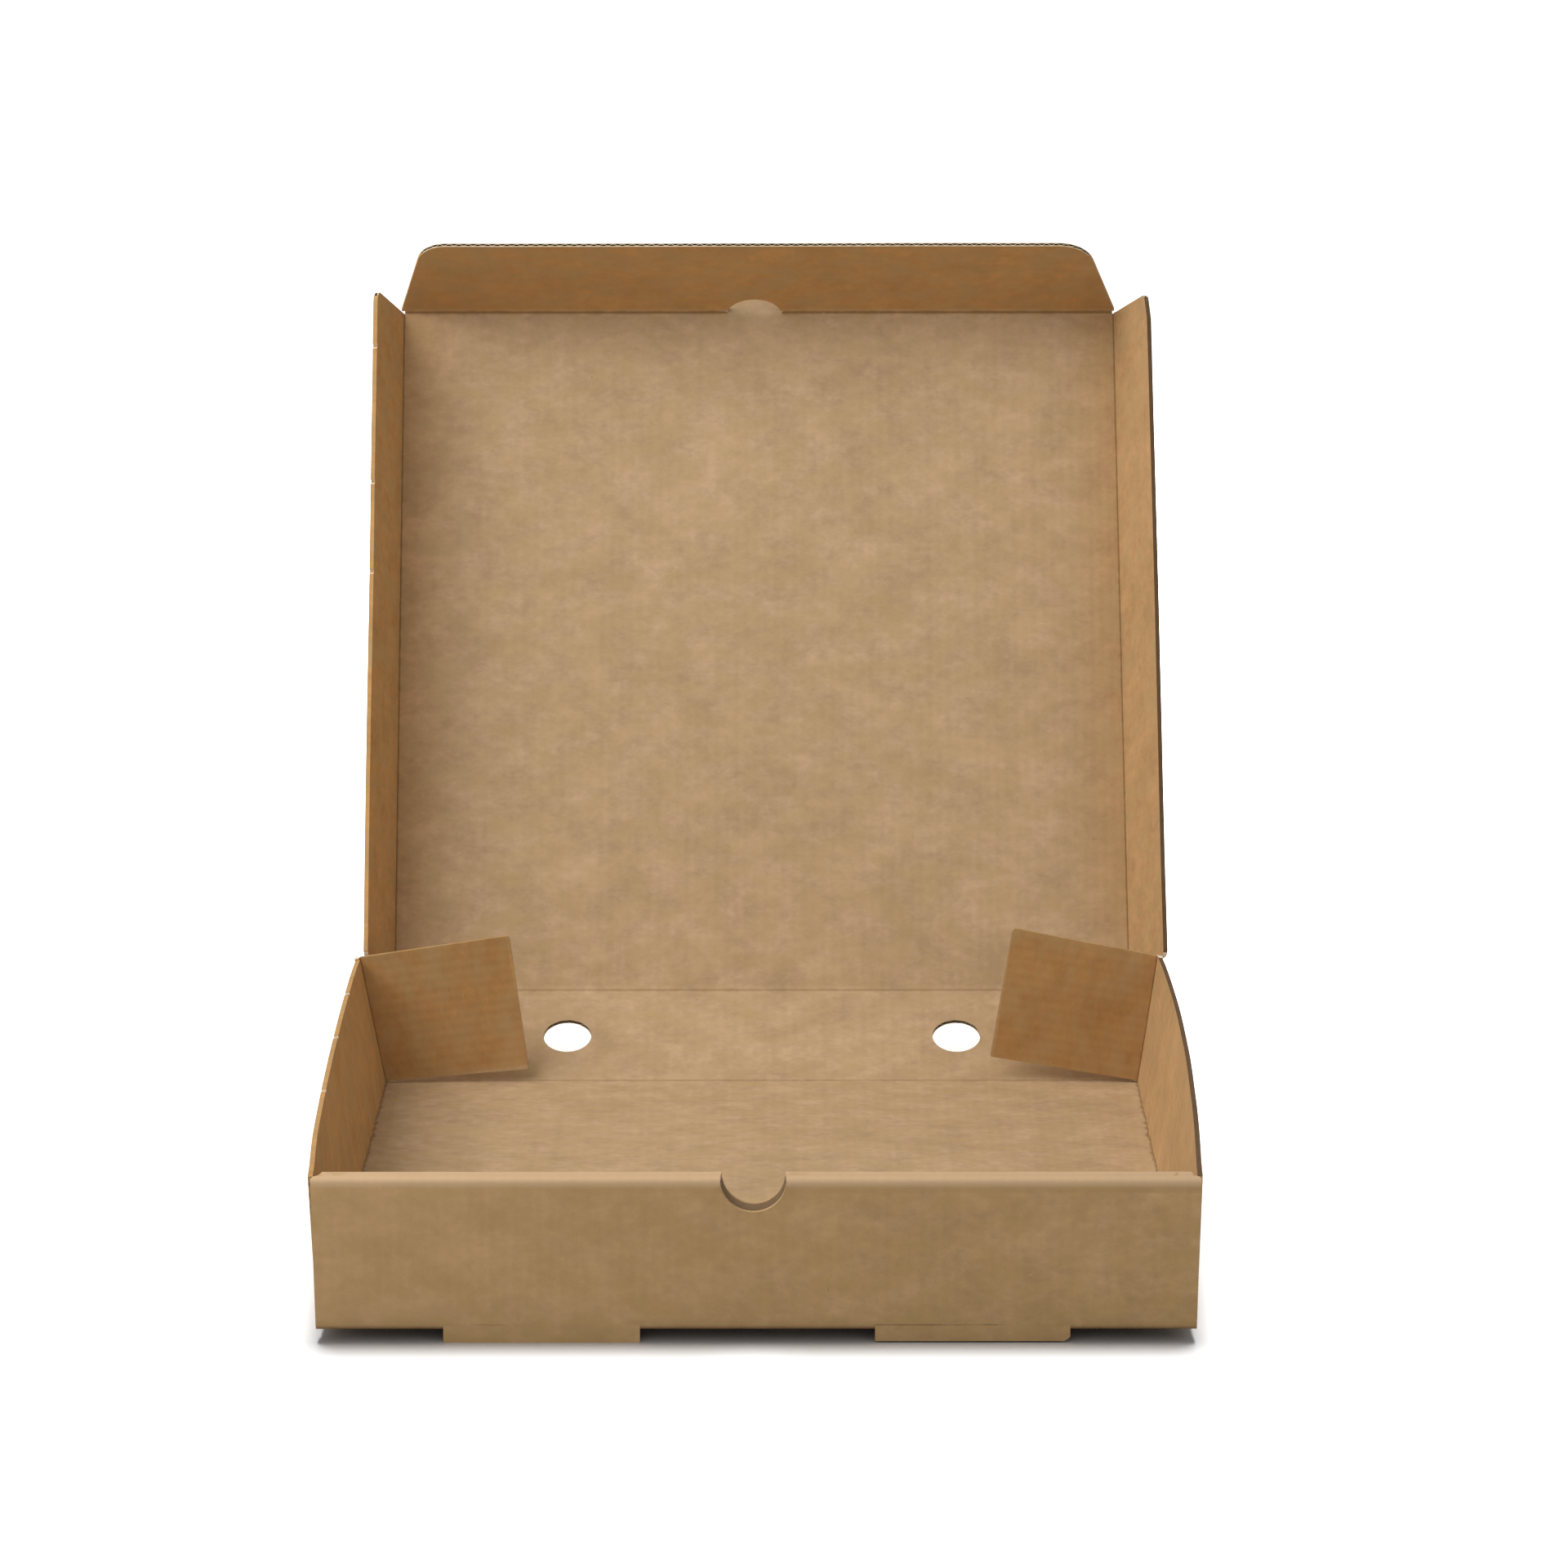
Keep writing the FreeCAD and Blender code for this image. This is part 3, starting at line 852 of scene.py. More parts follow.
def make_dust_flap(name, side, sizes, materials):
    """Flap on one side wall's rear edge."""
    origin, up, out, inner = dust_flap_frame(name, side)
    low, high = 0.5, DUST_TOP
    free_end = {"left": ((high + 0.9, 51.4, 1.2), (low - 2.1, 49.0, 0.8)),
                "right": ((high + 1.4, 50.3, 1.2), (low, 51.1, 0.8))}[name]
    outline = rounded([(low, FOLD_GAP, 0), (high, FOLD_GAP, 0), *free_end])

    def warp(a, b):
        dent = 0
        if name == "right":
            dent = -0.25 * math.exp(-((b - 9) / 4) ** 2 - ((a - high) / 3) ** 2)
        return 0.5 * ripple(a, b, 71 + side) * min(1, (b - FOLD_GAP) / 8) + dent

    place = flat_place(origin, up, out, inner, warp)

    def blank(a, b):
        return (side * (SIDE_FOLD + a), DUST_FOLD + b, b)

    def end_blank(across, at, fold):
        return (side * (SIDE_FOLD + at), DUST_FOLD + across, fold)

    board = BoardMesh()
    add_panel(board, outline, [], place, blank, sizes, step=4)
    add_rounded_end(board, origin, up, out, inner, 90, DUST_ENDS, end_blank, sizes)
    return board.make("dust_flap_%s_board" % name, materials)


def blend_over(piece):
    """Bakes a crease piece's placement into its mesh."""
    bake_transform(piece)


def cross_crease(name, materials, sizes, joint, below, above, ends, blank_start, gaps=()):
    """A crease across the box, between two panels given by their rise angles."""
    origin = joint_point(joint)
    p_along, p_inner = panel_directions(below)
    q, q_inner = panel_directions(above)
    board = BoardMesh()
    stops = [ends[0]] + [at for gap in gaps for at in gap] + [ends[1]]

    def blank(across, at):
        return (at, blank_start + across, abs(across))

    for low, high in zip(stops[::2], stops[1::2]):
        places = [low] + spread(low, high, 7) + [high]
        add_crease(board, origin, -p_along, q, p_inner, q_inner, places, blank, sizes)
    piece = board.make(name, materials)
    return piece, origin, -p_along, q, p_inner


def rides(piece, body):
    """Fixes a finished piece to its body."""
    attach(piece, body)
    return piece


class Nodes:
    """Short calls for building a material's nodes."""

    def __init__(self, name):
        self.material = bpy.data.materials.new(name)
        self.material.use_nodes = True
        self.tree = self.material.node_tree
        self.shader = self.tree.nodes["Principled BSDF"]

    def add(self, kind, **settings):
        node = self.tree.nodes.new(kind)
        for name, value in settings.items():
            setattr(node, name, value)
        return node

    def link(self, start, end):
        self.tree.links.new(start, end)

    def feed(self, socket, value):
        if isinstance(value, bpy.types.NodeSocket):
            self.link(value, socket)
        else:
            socket.default_value = value

    def math(self, operation, *values):
        node = self.add("ShaderNodeMath", operation=operation)
        for socket, value in zip(node.inputs, values):
            self.feed(socket, value)
        return node.outputs[0]

    def ramp(self, value, low, high, out_low=0.0, out_high=1.0):
        """Maps value from low..high to out_low..out_high, held at the ends."""
        node = self.add("ShaderNodeMapRange")
        for socket, number in zip(node.inputs, (value, low, high, out_low, out_high)):
            self.feed(socket, number)
        return node.outputs[0]

    def stretched(self, vector, scale, offset=(0, 0, 0)):
        node = self.add("ShaderNodeMapping")
        self.link(vector, node.inputs["Vector"])
        node.inputs["Scale"].default_value = scale
        node.inputs["Location"].default_value = offset
        return node.outputs[0]

    def noise(self, vector, scale, detail=2.0, roughness=0.5):
        node = self.add("ShaderNodeTexNoise")
        self.link(vector, node.inputs["Vector"])
        node.inputs["Scale"].default_value = scale
        node.inputs["Detail"].default_value = detail
        node.inputs["Roughness"].default_value = roughness
        return node.outputs["Fac"]

    def mix(self, share, first, second):
        node = self.add("ShaderNodeMix", data_type="RGBA")
        self.feed(node.inputs["Factor"], share)
        self.feed(node.inputs["A"], first)
        self.feed(node.inputs["B"], second)
        return node.outputs["Result"]


def band(nodes, value, middle, half, soft):
    """One inside middle +- half, zero outside, with soft sides."""
    distance = nodes.math("ABSOLUTE", nodes.math("SUBTRACT", value, middle))
    return nodes.ramp(distance, half, half + soft, 1.0, 0.0)


def opaque(colour, share=1.0):
    """The colour times share, as a socket takes it."""
    return (*[c * share for c in colour], 1)


# Colour of the painted shade on the flaps: the inside liner drawn darker and warmer.
def flap_shade_colour():
    return bpy.context.scene.pizza_box_colours.kraft_flap_shade[:]


def sheet_spot(nodes, seed):
    """Place on the flat sheet: across, along, off the nearest fold, and as one vector."""
    spot = nodes.add("ShaderNodeAttribute", attribute_name="blank")
    split = nodes.add("ShaderNodeSeparateXYZ")
    nodes.link(spot.outputs["Vector"], split.inputs[0])
    u, w, fold = split.outputs
    sheet = nodes.add("ShaderNodeCombineXYZ")
    nodes.link(u, sheet.inputs[0])
    nodes.link(w, sheet.inputs[1])
    sheet.inputs[2].default_value = seed * 37.0
    return u, w, fold, sheet.outputs[0]


def pulp_shade(nodes, sheet, mottle, grain, wash):
    """Light and dark of the pulp: clouds, blotches, streaks, grain and fibres, with a faint
    painted shade of the flutes' ripple.
    """
    cloud = nodes.noise(sheet, 0.02, 2)
    blotch = nodes.noise(nodes.stretched(sheet, (0.85, 1, 1), (7, 2, 3)), 0.085, 3, 0.55)
    streaks = nodes.noise(nodes.stretched(sheet, (0.3, 0.004, 1)), 1.0, 2, 0.5)
    fibre = nodes.noise(nodes.stretched(sheet, (0.3, 2.6, 1), (0, 0, 5)), 1.0, 3, 0.6)
    shade = nodes.ramp(cloud, 0.3, 0.7, -0.05, 0.05)
    layers = ((blotch, 0.19), (mottle, 0.17), (streaks, 0.03), (grain, 0.07), (fibre, 0.03))
    for value, depth in layers:
        shade = nodes.math("ADD", shade, nodes.ramp(value, 0.25, 0.75, -depth, depth))
    # Faint painted shade of the flutes' ripple under the liner; the same ripple also feeds the
    # bump.
    return nodes.math("ADD", shade, nodes.math("MULTIPLY", wash, 0.006))


def lid_streak_and_painted_shadow(nodes, shade, u, w):
    """A pale streak up the lid, and a painted shadow at its foot beside the right dust flap,
    both to the right.
    """
    on_lid = nodes.ramp(w, 240.0, 320.0)
    streak = nodes.math("MULTIPLY", band(nodes, u, 93.0, 3.0, 4.0), on_lid)
    shade = nodes.math("ADD", shade, nodes.math("MULTIPLY", streak, 0.03))
    # Painted shadow: a darker patch on the lid's foot where the right dust flap's shadow falls.
    painted_shadow = nodes.math("MULTIPLY", band(nodes, u, 84.0, 4.0, 9.0),
                       band(nodes, w, 309.0, 2.0, 12.0))
    return nodes.math("SUBTRACT", shade, nodes.math("MULTIPLY", painted_shadow, 0.16))


def inside_painted_shade(nodes, paper, tone, u, w):
    """Inside liner with painted shade: the flap colour on the side walls, flaps and lid
    margins, darker dust flaps and right lid margin, and painted light that makes the tuck flap
    paler to the left.
    """
    flaps = flap_shade_colour()
    aside = nodes.math("ABSOLUTE", u)
    # Painted shade: the side walls, side flaps and tuck flap take the darker flap colour.
    flap = nodes.math("MAXIMUM", nodes.ramp(aside, 126.0, 128.0), nodes.ramp(w, 545.0, 547.0))
    up_lid = nodes.ramp(w, 290.0, 340.0)
    # Painted shade along the lid's side folds.
    margin = nodes.math("MULTIPLY", nodes.ramp(aside, 106.0, 126.0, 0.0, 0.45), up_lid)
    share = nodes.math("MAXIMUM", flap, margin)
    # dust marks the dust flaps, which get deeper painted shade.
    dust = nodes.math("MULTIPLY", band(nodes, w, 276.3, 24.5, 0.5),
                      nodes.ramp(aside, 126.6, 127.2))
    # Less painted shade on the right-hand wall and side flap, which face the light, except on
    # the dust flap.
    right_side_less_shade = nodes.math("MULTIPLY", nodes.ramp(u, 126.0, 128.0, 0.0, 0.4),
                         nodes.ramp(dust, 0.0, 1.0, 1.0, 0.0))
    share = nodes.math("SUBTRACT", share, right_side_less_shade)
    brown = nodes.mix(tone, opaque(flaps, 0.84), opaque(flaps, 1.16))
    paper = nodes.mix(share, paper, brown)
    # Deeper painted shade on the dust flaps and along the lid's right-hand fold.
    right_margin = nodes.math("MULTIPLY", nodes.ramp(u, 108.0, 126.0, 0.0, 0.3), up_lid)
    right_margin = nodes.math("MULTIPLY", right_margin, nodes.ramp(u, 126.0, 127.0, 1.0, 0.0))
    darker = nodes.math("MAXIMUM", nodes.math("MULTIPLY", dust, 0.36), right_margin)
    paper = nodes.mix(darker, paper, opaque(flaps, 0.62))
    # Painted light: the tuck flap paler towards the left, the side the light comes from.
    paler = nodes.math("MULTIPLY", nodes.ramp(w, 545.0, 547.0, 0.0, 0.35),
                       nodes.ramp(u, -127.0, 127.0, 1.0, 0.3))
    return nodes.mix(paler, paper, opaque(flaps, 1.35))


def outside_painted_light(nodes, paper, light, dark, u, w):
    """Outside liner: painted light makes it paler to the left, and painted shade darkens the
    front wall's top strip to the right.
    """
    # Painted light: paler towards the left, the side the light comes from.
    paper = nodes.mix(nodes.ramp(u, -127.0, 127.0, 0.5, 0.0), paper, opaque(light, 1.12))
    # Painted shade on the front wall's top strip, darker to the right.
    strip = nodes.math("MULTIPLY", band(nodes, w, -43.3, 3.2, 0.8),
                       nodes.ramp(u, -127.0, 127.0, 0.0, 0.45))
    return nodes.mix(strip, paper, opaque(dark, 0.8))


def inside_fold_shade(nodes, ragged, sheet, u, w):
    """Strength of the painted shade in the folds: fainter across the box, ragged at the sides.
    """
    aside = nodes.math("ABSOLUTE", u)
    line = nodes.ramp(ragged, 0.2, 0.7, 0.8, 0.0)
    line = nodes.math("MULTIPLY", line, nodes.ramp(w, 250.5, 251.0, 0.3, 1.0))
    across = nodes.math("MAXIMUM", band(nodes, w, 254.3, 2.0, 1.0),
                        band(nodes, w, 300.5, 2.0, 1.0))
    across = nodes.math("MULTIPLY", across, nodes.ramp(aside, 125.0, 126.5, 1.0, 0.0))
    line = nodes.math("MULTIPLY", line, nodes.ramp(across, 0.0, 1.0, 1.0, 0.5))
    wander = nodes.noise(nodes.stretched(sheet, (0, 0.16, 1), (4, 0, 2)), 1.0, 1, 0.5)
    wander = nodes.math("ADD", aside, nodes.ramp(wander, 0.3, 0.7, -0.9, 0.9))
    # Painted shade along the tray's side creases, wavering along the crease.
    side_crease_shade = nodes.math("MULTIPLY", band(nodes, wander, 126.6, 0.4, 1.1),
                       nodes.ramp(w, 251.0, 253.0, 0.8, 0.0))
    return nodes.math("MAXIMUM", line, side_crease_shade)


def specks_and_lint(nodes, paper, sheet, colour):
    """Rare dark specks and pale fibres on the paper."""
    specks = nodes.add("ShaderNodeTexVoronoi")
    nodes.link(sheet, specks.inputs["Vector"])
    specks.inputs["Scale"].default_value = 0.085
    dot = nodes.ramp(specks.outputs["Distance"], 0.012, 0.03, 1.0, 0.0)
    rare = nodes.add("ShaderNodeSeparateColor")
    nodes.link(specks.outputs["Color"], rare.inputs[0])
    chosen = nodes.math("GREATER_THAN", rare.outputs[0], 0.62)
    dark_dot = nodes.math("MULTIPLY", dot, chosen)
    paper = nodes.mix(nodes.math("MULTIPLY", dark_dot, 0.6), paper, opaque(colour, 0.35))
    lint = nodes.noise(nodes.stretched(sheet, (0.16, 1.1, 1), (3, 1, 14)), 1.0, 2, 0.5)
    pale = [min(1, c * 1.4 + 0.06) for c in colour]
    return nodes.mix(nodes.ramp(lint, 0.75, 0.80, 0.0, 0.4), paper, opaque(pale))


def kraft(name, colour, seed, sizes):
    """Kraft paper, drawn on the flat sheet so that it runs on over the folds."""
    light = [min(1, c * 1.16) for c in colour]
    dark = [c * s for c, s in zip(colour, (0.85, 0.83, 0.79))]
    inside = name == "kraft_inner"
    nodes = Nodes(name)
    u, w, fold, sheet = sheet_spot(nodes, seed)
    mottle = nodes.noise(nodes.stretched(sheet, (0.7, 1, 1)), 0.34, 3, 0.6)
    grain = nodes.noise(nodes.stretched(sheet, (0.7, 1, 1)), 1.5, 4, 0.65)
    yellow = nodes.noise(nodes.stretched(sheet, (0.7, 1, 1), (1, 9, 17)), 0.11, 3, 0.6)
    # wash is the flutes' ripple, which drives the bump and a faint painted shade.
    turn = nodes.math("MULTIPLY", u, 2 * math.pi / sizes.flute_pitch)
    wash = nodes.math("COSINE", turn)
    shade = pulp_shade(nodes, sheet, mottle, grain, wash)
    if inside:
        shade = lid_streak_and_painted_shadow(nodes, shade, u, w)
    tone = nodes.ramp(shade, -0.22, 0.22)
    paper = nodes.mix(tone, opaque(dark), opaque(light))
    # Inside, painted shade and light on the flaps, lid margins and tuck flap; outside, painted
    # light to the left and painted shade on the top strip.
    if inside:
        paper = inside_painted_shade(nodes, paper, tone, u, w)
    if name == "kraft_outer":
        paper = outside_painted_light(nodes, paper, light, dark, u, w)
    yellowish = [c * s for c, s in zip(colour, (0.94, 0.95, 0.76))]
    paper = nodes.mix(nodes.ramp(yellow, 0.38, 0.72, 0.0, 0.7), paper, opaque(yellowish))
    ragged = nodes.math("ADD", fold, nodes.ramp(mottle, 0.2, 0.8, -0.1, 0.2))
    # Folds: inside, painted shade in the flap colour; outside, a pale line of wear.
    if inside:
        line = inside_fold_shade(nodes, ragged, sheet, u, w)
        tint = opaque(flap_shade_colour(), 0.4)
    else:
        line = nodes.ramp(ragged, 0.8, 2.2, 0.6, 0.0)
        tint = opaque([min(1, c * s) for c, s in zip(colour, (1.35, 1.5, 1.9))])
    paper = nodes.mix(line, paper, tint)
    paper = specks_and_lint(nodes, paper, sheet, colour)
    nodes.link(paper, nodes.shader.inputs["Base Color"])
    nodes.link(nodes.ramp(grain, 0.2, 0.8, 0.78, 0.96), nodes.shader.inputs["Roughness"])
    nodes.shader.inputs["Specular IOR Level"].default_value = 0.25
    height = nodes.math("ADD", nodes.math("MULTIPLY", wash, 0.35),
                        nodes.math("MULTIPLY", grain, 0.9))
    bump = nodes.add("ShaderNodeBump")
    bump.inputs["Strength"].default_value = 0.35
    bump.inputs["Distance"].default_value = 0.00012
    nodes.link(height, bump.inputs["Height"])
    nodes.link(bump.outputs[0], nodes.shader.inputs["Normal"])
    return nodes.material


def finish(name, seed, sizes):
    """One finish of the board, made once and shared by the pieces."""
    if name in bpy.data.materials:
        return bpy.data.materials[name]
    colour = getattr(bpy.context.scene.pizza_box_colours, name)[:]
    return kraft(name, colour, seed, sizes)


def board_materials(sizes):
    """The board's four finishes, in the order of the material slots."""
    names = ("kraft_inner", "kraft_outer", "kraft_cut_edge", "kraft_flute")
    return [finish(name, seed, sizes) for seed, name in enumerate(names, start=1)]


def length_size(name, description, millimetres):
    return bpy.props.FloatProperty(name=name, description=description,
                                   default=millimetres * MM, precision=4,
                                   subtype="DISTANCE", unit="LENGTH")


def angle_size(name, description, degrees):
    return bpy.props.FloatProperty(name=name, description=description,
                                   default=math.radians(degrees),
                                   subtype="ANGLE", unit="ROTATION")


def board_colour(name, description, colour):
    return bpy.props.FloatVectorProperty(name=name, description=description, default=colour,
                                         size=3, min=0, max=1, subtype="COLOR")


class PizzaBoxSizes(bpy.types.PropertyGroup):
    board: length_size("Board", "Thickness of the fluted board", 1.5)
    liner: length_size("Liner", "Thickness of the board's facing paper", 0.28)
    flute_paper: length_size("Flute paper", "Thickness of the wavy paper", 0.16)
    flute_pitch: length_size("Flute pitch", "Distance from one flute to the next", 3.35)
    box_width: length_size("Box width", "Width over the front wall", 255)
    wall_height: length_size("Wall height", "Height of the front and side walls", 46)
    back_wall_height: length_size("Back wall height", "Crease to crease", 46.3)
    back_wall_base_width: length_size("Back wall base", "Width at the bottom", 254)
    back_wall_top_width: length_size("Back wall top", "Width at the lid", 253)
    vent_radius: length_size("Vent radius", "Radius of the round vents", 8.1)
    lid_length: length_size("Lid length", "Rear crease to front crease", 245.4)
    tuck_depth: length_size("Tuck depth", "Depth of the tuck flap", 38)
    side_flap_depth: length_size("Side flap depth", "Depth of the lid's side flaps", 37.9)
    back_wall_angle: angle_size("Back wall angle", "Rise of the open back wall", 26.3)
    lid_angle: angle_size("Lid angle", "Rise of the open lid", 63.2)
    tuck_angle: angle_size("Tuck angle", "Fold between the lid and tuck flap", 71.5)
    side_flap_angle_left: angle_size("Left flap angle", "Fold of the left side flap", 80)
    side_flap_angle_right: angle_size("Right flap angle", "Fold of the right side flap", 75.5)


class PizzaBoxColours(bpy.types.PropertyGroup):
    kraft_inner: board_colour("Inside", "Liner on the inside of the box", (0.49, 0.333, 0.196))
    # The flaps' colour is the inside liner drawn darker and warmer: painted shade of the side
    # walls and flaps, also used for the shade in the folds and on the dust flaps.
    kraft_flap_shade: board_colour("Flaps", "Liner on the inside of the flaps", (0.52, 0.284, 0.103))
    kraft_outer: board_colour("Outside", "Liner on the outside of the box", (0.49, 0.308, 0.15))
    kraft_cut_edge: board_colour("Cut edge", "Cut edges of the paper", (0.76, 0.61, 0.44))
    # Near-black: painted shade of the hollows inside the flutes.
    kraft_flute: board_colour("Flutes", "Wavy paper between the liners", (0.12, 0.068, 0.034))
    floor: board_colour("Floor", "The pale floor", (0.86, 0.86, 0.86))


def ready():
    """Sizes in millimetres and the board's four materials."""
    sizes = Sizes()
    return sizes, board_materials(sizes)


class PIZZABOX_OT_tray(bpy.types.Operator):
    """Builds the bottom, the side walls, the rolled-over front wall and the corner tabs"""
    bl_idname = "pizzabox.tray"
    bl_label = "Tray"

    def execute(self, context):
        sizes, materials = ready()
        sheet = make_tray_sheet(sizes, materials)
        rides(sheet, "tray")
        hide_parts("tray")
        rides(make_front_wall(sizes, materials), "tray")
        rides(make_corner_tabs(sizes, materials), "tray")
        return {"FINISHED"}


class PIZZABOX_OT_back_wall(bpy.types.Operator):
    """Builds the back wall with its vents"""
    bl_idname = "pizzabox.back_wall"
    bl_label = "Back wall"

    def execute(self, context):
        sizes, materials = ready()
        piece = rides(make_back_wall(sizes, materials), "back_wall")
        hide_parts("back_wall")
        return {"FINISHED"}


class PIZZABOX_OT_lid(bpy.types.Operator):
    """Builds the lid with its half-moon tab"""
    bl_idname = "pizzabox.lid"
    bl_label = "Lid"

    def execute(self, context):
        sizes, materials = ready()
        piece = rides(make_lid(sizes, materials), "lid_panel")
        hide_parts("lid_panel")
        return {"FINISHED"}


class PIZZABOX_OT_tuck_flap(bpy.types.Operator):
    """Builds the tuck flap on the lid's front edge"""
    bl_idname = "pizzabox.tuck_flap"
    bl_label = "Tuck flap"

    def execute(self, context):
        sizes, materials = ready()
        piece = rides(make_tuck_flap(sizes, materials), "tuck_flap")
        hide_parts("tuck_flap")
        return {"FINISHED"}


class PIZZABOX_OT_side_flaps(bpy.types.Operator):
    """Builds the two side flaps of the lid"""
    bl_idname = "pizzabox.side_flaps"
    bl_label = "Lid side flaps"

    def execute(self, context):
        sizes, materials = ready()
        for name, side in SIDES:
            node = "lid_side_flap_" + name
            piece = rides(make_side_flap(name, side, sizes, materials), node)
            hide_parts(node)
            if name == "left":
                origin, crease, out, inner, lid_inner = side_flap_frame(name, side, sizes)
                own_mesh(piece)
        return {"FINISHED"}


class PIZZABOX_OT_dust_flaps(bpy.types.Operator):
    """Builds the two dust flaps at the rear of the side walls"""
    bl_idname = "pizzabox.dust_flaps"
    bl_label = "Dust flaps"

    def execute(self, context):
        sizes, materials = ready()
        for name, side in SIDES:
            node = "dust_flap_" + name
            piece = rides(make_dust_flap(name, side, sizes, materials), node)
            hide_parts(node)
            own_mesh(piece)
        return {"FINISHED"}


class PIZZABOX_OT_creases(bpy.types.Operator):
    """Builds the folded paper at the three folds across the box"""
    bl_idname = "pizzabox.creases"
    bl_label = "Creases"

    def execute(self, context):
        sizes, materials = ready()
        rise = sizes.back_wall_angle
        lid_rise = sizes.lid_angle
        gap = TAB_RADIUS - 0.15
        crossings = (
            ("rear_crease", "back_wall_hinge", 0, rise, (-125.7, 125.7), REAR_FOLD, (),
             "tray", "back_wall"),
            ("lid_crease", "lid_hinge", rise, lid_rise, (-125.6, 125.4), LID_FOLD, (),
             "back_wall", "lid_panel"),
            ("tuck_crease", "tuck_flap_hinge", lid_rise, lid_rise + sizes.tuck_angle,
             (LID_CREASE["left"][1] + 1.0, LID_CREASE["right"][1] - 1.0), TUCK_FOLD,
             ((TAB_MIDDLE - gap, TAB_MIDDLE + gap),), "lid_panel", "tuck_flap"),
        )
        for name, joint, below, above, ends, start, gaps, parent, child in crossings:
            piece, origin, p, q, p_inner = cross_crease(
                name, materials, sizes, joint, below, above, ends, start, gaps)
            blend_over(piece)
        return {"FINISHED"}


def aimed(name, light, place, aim):
    """Puts a lamp at place, in metres, facing aim."""
    lamp = bpy.data.objects.new(name, light)
    lamp.location = place
    lamp.rotation_euler = (Vector(aim) - Vector(place)).to_track_quat("-Z", "Y").to_euler()
    bpy.context.scene.collection.objects.link(lamp)
    return lamp


def soft_lamp(name, place, aim, size, power):
    """A square area lamp."""
    light = bpy.data.lights.new(name, "AREA")
    light.shape = "SQUARE"
    light.size = size
    light.energy = power
    return aimed(name, light, place, aim)


def overhead_lamp(name, place, spread_angle, strength):
    """A distant lamp whose disc spans spread_angle degrees."""
    light = bpy.data.lights.new(name, "SUN")
    light.angle = math.radians(spread_angle)
    light.energy = strength
    return aimed(name, light, place, (0, 0, 0))


def make_floor(colour):
    """A wide floor: pale to the camera, where it keeps the box's shadow, and dull
    to the box, so that it throws little light up."""
    mesh = bpy.data.meshes.new("floor")
    half = 6.0
    clearance = 0.0003
    low = min(0.0, CAD_BOUNDS[0][2]) - clearance
    mesh.from_pydata([(-half, -half, low), (half, -half, low), (half, half, low),
                      (-half, half, low)], [], [(0, 1, 2, 3)])
    nodes = Nodes("floor_white")
    rays = nodes.add("ShaderNodeLightPath")
    mirrored = nodes.math("MAXIMUM", rays.outputs["Is Glossy Ray"],
                          rays.outputs["Is Transmission Ray"])
    seen = nodes.math("MAXIMUM", rays.outputs["Is Camera Ray"], mirrored)
    shown = nodes.mix(seen, opaque(colour, 0.3), opaque(colour))
    nodes.link(shown, nodes.shader.inputs["Base Color"])
    nodes.shader.inputs["Roughness"].default_value = 1.0
    nodes.shader.inputs["Specular IOR Level"].default_value = 0.0
    mesh.materials.append(nodes.material)
    floor = bpy.data.objects.new("floor", mesh)
    bpy.context.scene.collection.objects.link(floor)
    return floor


def light_only(lamps, thing, state):
    """The lamps light only the thing, or everything but the thing."""
    group = bpy.data.collections.new("lit_" + state.lower())
    group.objects.link(thing)
    group.collection_objects[0].light_linking.link_state = state
    for lamp in lamps:
        lamp.light_linking.receiver_collection = group


def make_world():
    """Dim studio light all round, seen as white by the camera and in reflections."""
    world = bpy.data.worlds.new("studio")
    bpy.context.scene.world = world
    world.use_nodes = True
    tree = world.node_tree
    back = tree.nodes["Background"]
    rays = tree.nodes.new("ShaderNodeLightPath")
    seen = tree.nodes.new("ShaderNodeMath")
    seen.operation = "MAXIMUM"
    mirrored = tree.nodes.new("ShaderNodeMath")
    mirrored.operation = "MAXIMUM"
    tree.links.new(rays.outputs["Is Glossy Ray"], mirrored.inputs[0])
    tree.links.new(rays.outputs["Is Transmission Ray"], mirrored.inputs[1])
    tree.links.new(rays.outputs["Is Camera Ray"], seen.inputs[0])
    tree.links.new(mirrored.outputs[0], seen.inputs[1])
    strength = tree.nodes.new("ShaderNodeMapRange")
    tree.links.new(seen.outputs[0], strength.inputs["Value"])
    strength.inputs["To Min"].default_value = 0.27
    strength.inputs["To Max"].default_value = 1.0
    tree.links.new(strength.outputs[0], back.inputs["Strength"])
    back.inputs["Color"].default_value = (1, 1, 1, 1)


def make_camera():
    """The photograph's viewpoint: well in front of the box, looking a little down."""
    camera = bpy.data.cameras.new("camera")
    camera.sensor_width = 36
    camera.lens = 123.33
    camera.clip_end = 50
    viewer = bpy.data.objects.new("camera", camera)
    place = Matrix.Translation(Vector((10.63, -1609.26, 504.31)) * MM)
    heading = Matrix.Rotation(math.radians(0.10), 4, "Z")
    pitch = Matrix.Rotation(math.radians(90 - 12.99), 4, "X")
    roll = Matrix.Rotation(math.radians(-0.05), 4, "Z")
    viewer.matrix_world = place @ heading @ pitch @ roll
    bpy.context.scene.collection.objects.link(viewer)
    bpy.context.scene.camera = viewer


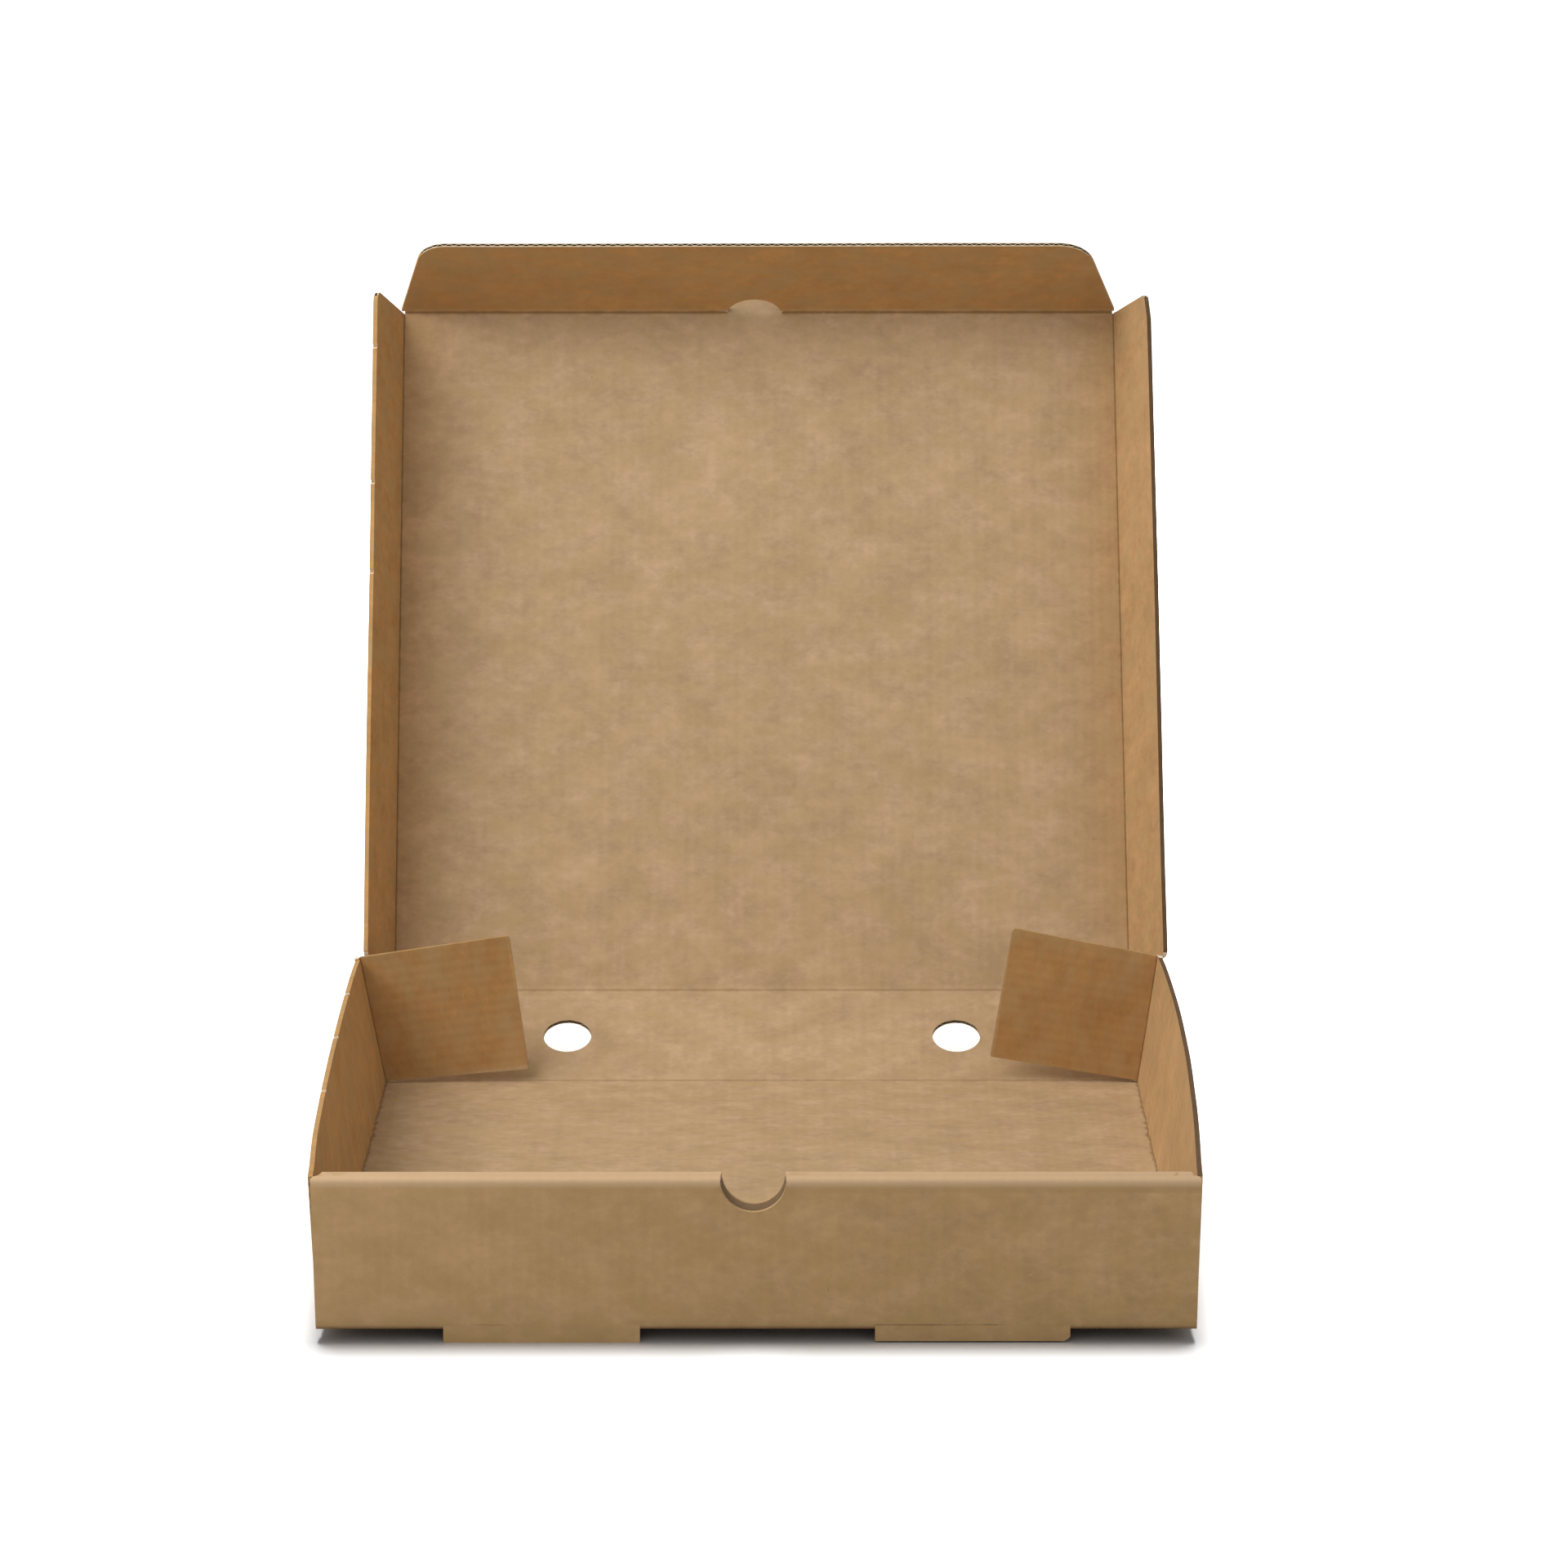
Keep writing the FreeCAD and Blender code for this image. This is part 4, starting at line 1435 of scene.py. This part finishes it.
class PIZZABOX_OT_stage(bpy.types.Operator):
    """Sets up the floor, the studio light and the camera"""
    bl_idname = "pizzabox.stage"
    bl_label = "Stage"

    def execute(self, context):
        floor = make_floor(context.scene.pizza_box_colours.floor[:])
        make_world()
        key = soft_lamp("key", (-0.9, -0.47, 1.42), (0, 0, 0.1), 1.53, 30)
        fill = soft_lamp("fill", (1.8, -1.1, 0.6), (0, 0, 0.1), 1.4, 7)
        light_only([key, fill], floor, "EXCLUDE")
        above = overhead_lamp("above", (0, 0.62, 3), 25, 4.4)
        behind = soft_lamp("behind", (0, 1.5, 0.7), (0, 0.22, 0), 0.5, 42)
        light_only([above, behind], floor, "INCLUDE")
        make_camera()
        context.scene.view_settings.view_transform = "Standard"
        return {"FINISHED"}


OPERATORS = (
    PIZZABOX_OT_stage,
    PIZZABOX_OT_tray,
    PIZZABOX_OT_back_wall,
    PIZZABOX_OT_lid,
    PIZZABOX_OT_tuck_flap,
    PIZZABOX_OT_side_flaps,
    PIZZABOX_OT_dust_flaps,
    PIZZABOX_OT_creases,
)


class PIZZABOX_PT_panel(bpy.types.Panel):
    """Lists the box's pieces, sizes and colours"""
    bl_idname = "PIZZABOX_PT_panel"
    bl_label = "Pizza box"
    bl_space_type = "VIEW_3D"
    bl_region_type = "UI"
    bl_category = "Pizza box"

    def draw(self, context):
        for operator in OPERATORS:
            self.layout.operator(operator.bl_idname)
        for group in (context.scene.pizza_box_sizes, context.scene.pizza_box_colours):
            box = self.layout.box()
            for name in group.bl_rna.properties.keys():
                if name not in {"rna_type", "name"}:
                    box.prop(group, name)


CLASSES = (PizzaBoxSizes, PizzaBoxColours, *OPERATORS, PIZZABOX_PT_panel)


def register():
    for cls in CLASSES:
        bpy.utils.register_class(cls)
    bpy.types.Scene.pizza_box_sizes = bpy.props.PointerProperty(type=PizzaBoxSizes)
    bpy.types.Scene.pizza_box_colours = bpy.props.PointerProperty(type=PizzaBoxColours)


def unregister():
    del bpy.types.Scene.pizza_box_colours
    del bpy.types.Scene.pizza_box_sizes
    for cls in reversed(CLASSES):
        bpy.utils.unregister_class(cls)


def main():
    register()
    bpy.ops.pizzabox.stage()
    bpy.ops.pizzabox.tray()
    bpy.ops.pizzabox.back_wall()
    bpy.ops.pizzabox.lid()
    bpy.ops.pizzabox.tuck_flap()
    bpy.ops.pizzabox.side_flaps()
    bpy.ops.pizzabox.dust_flaps()
    bpy.ops.pizzabox.creases()


if __name__ == "__main__":
    main()
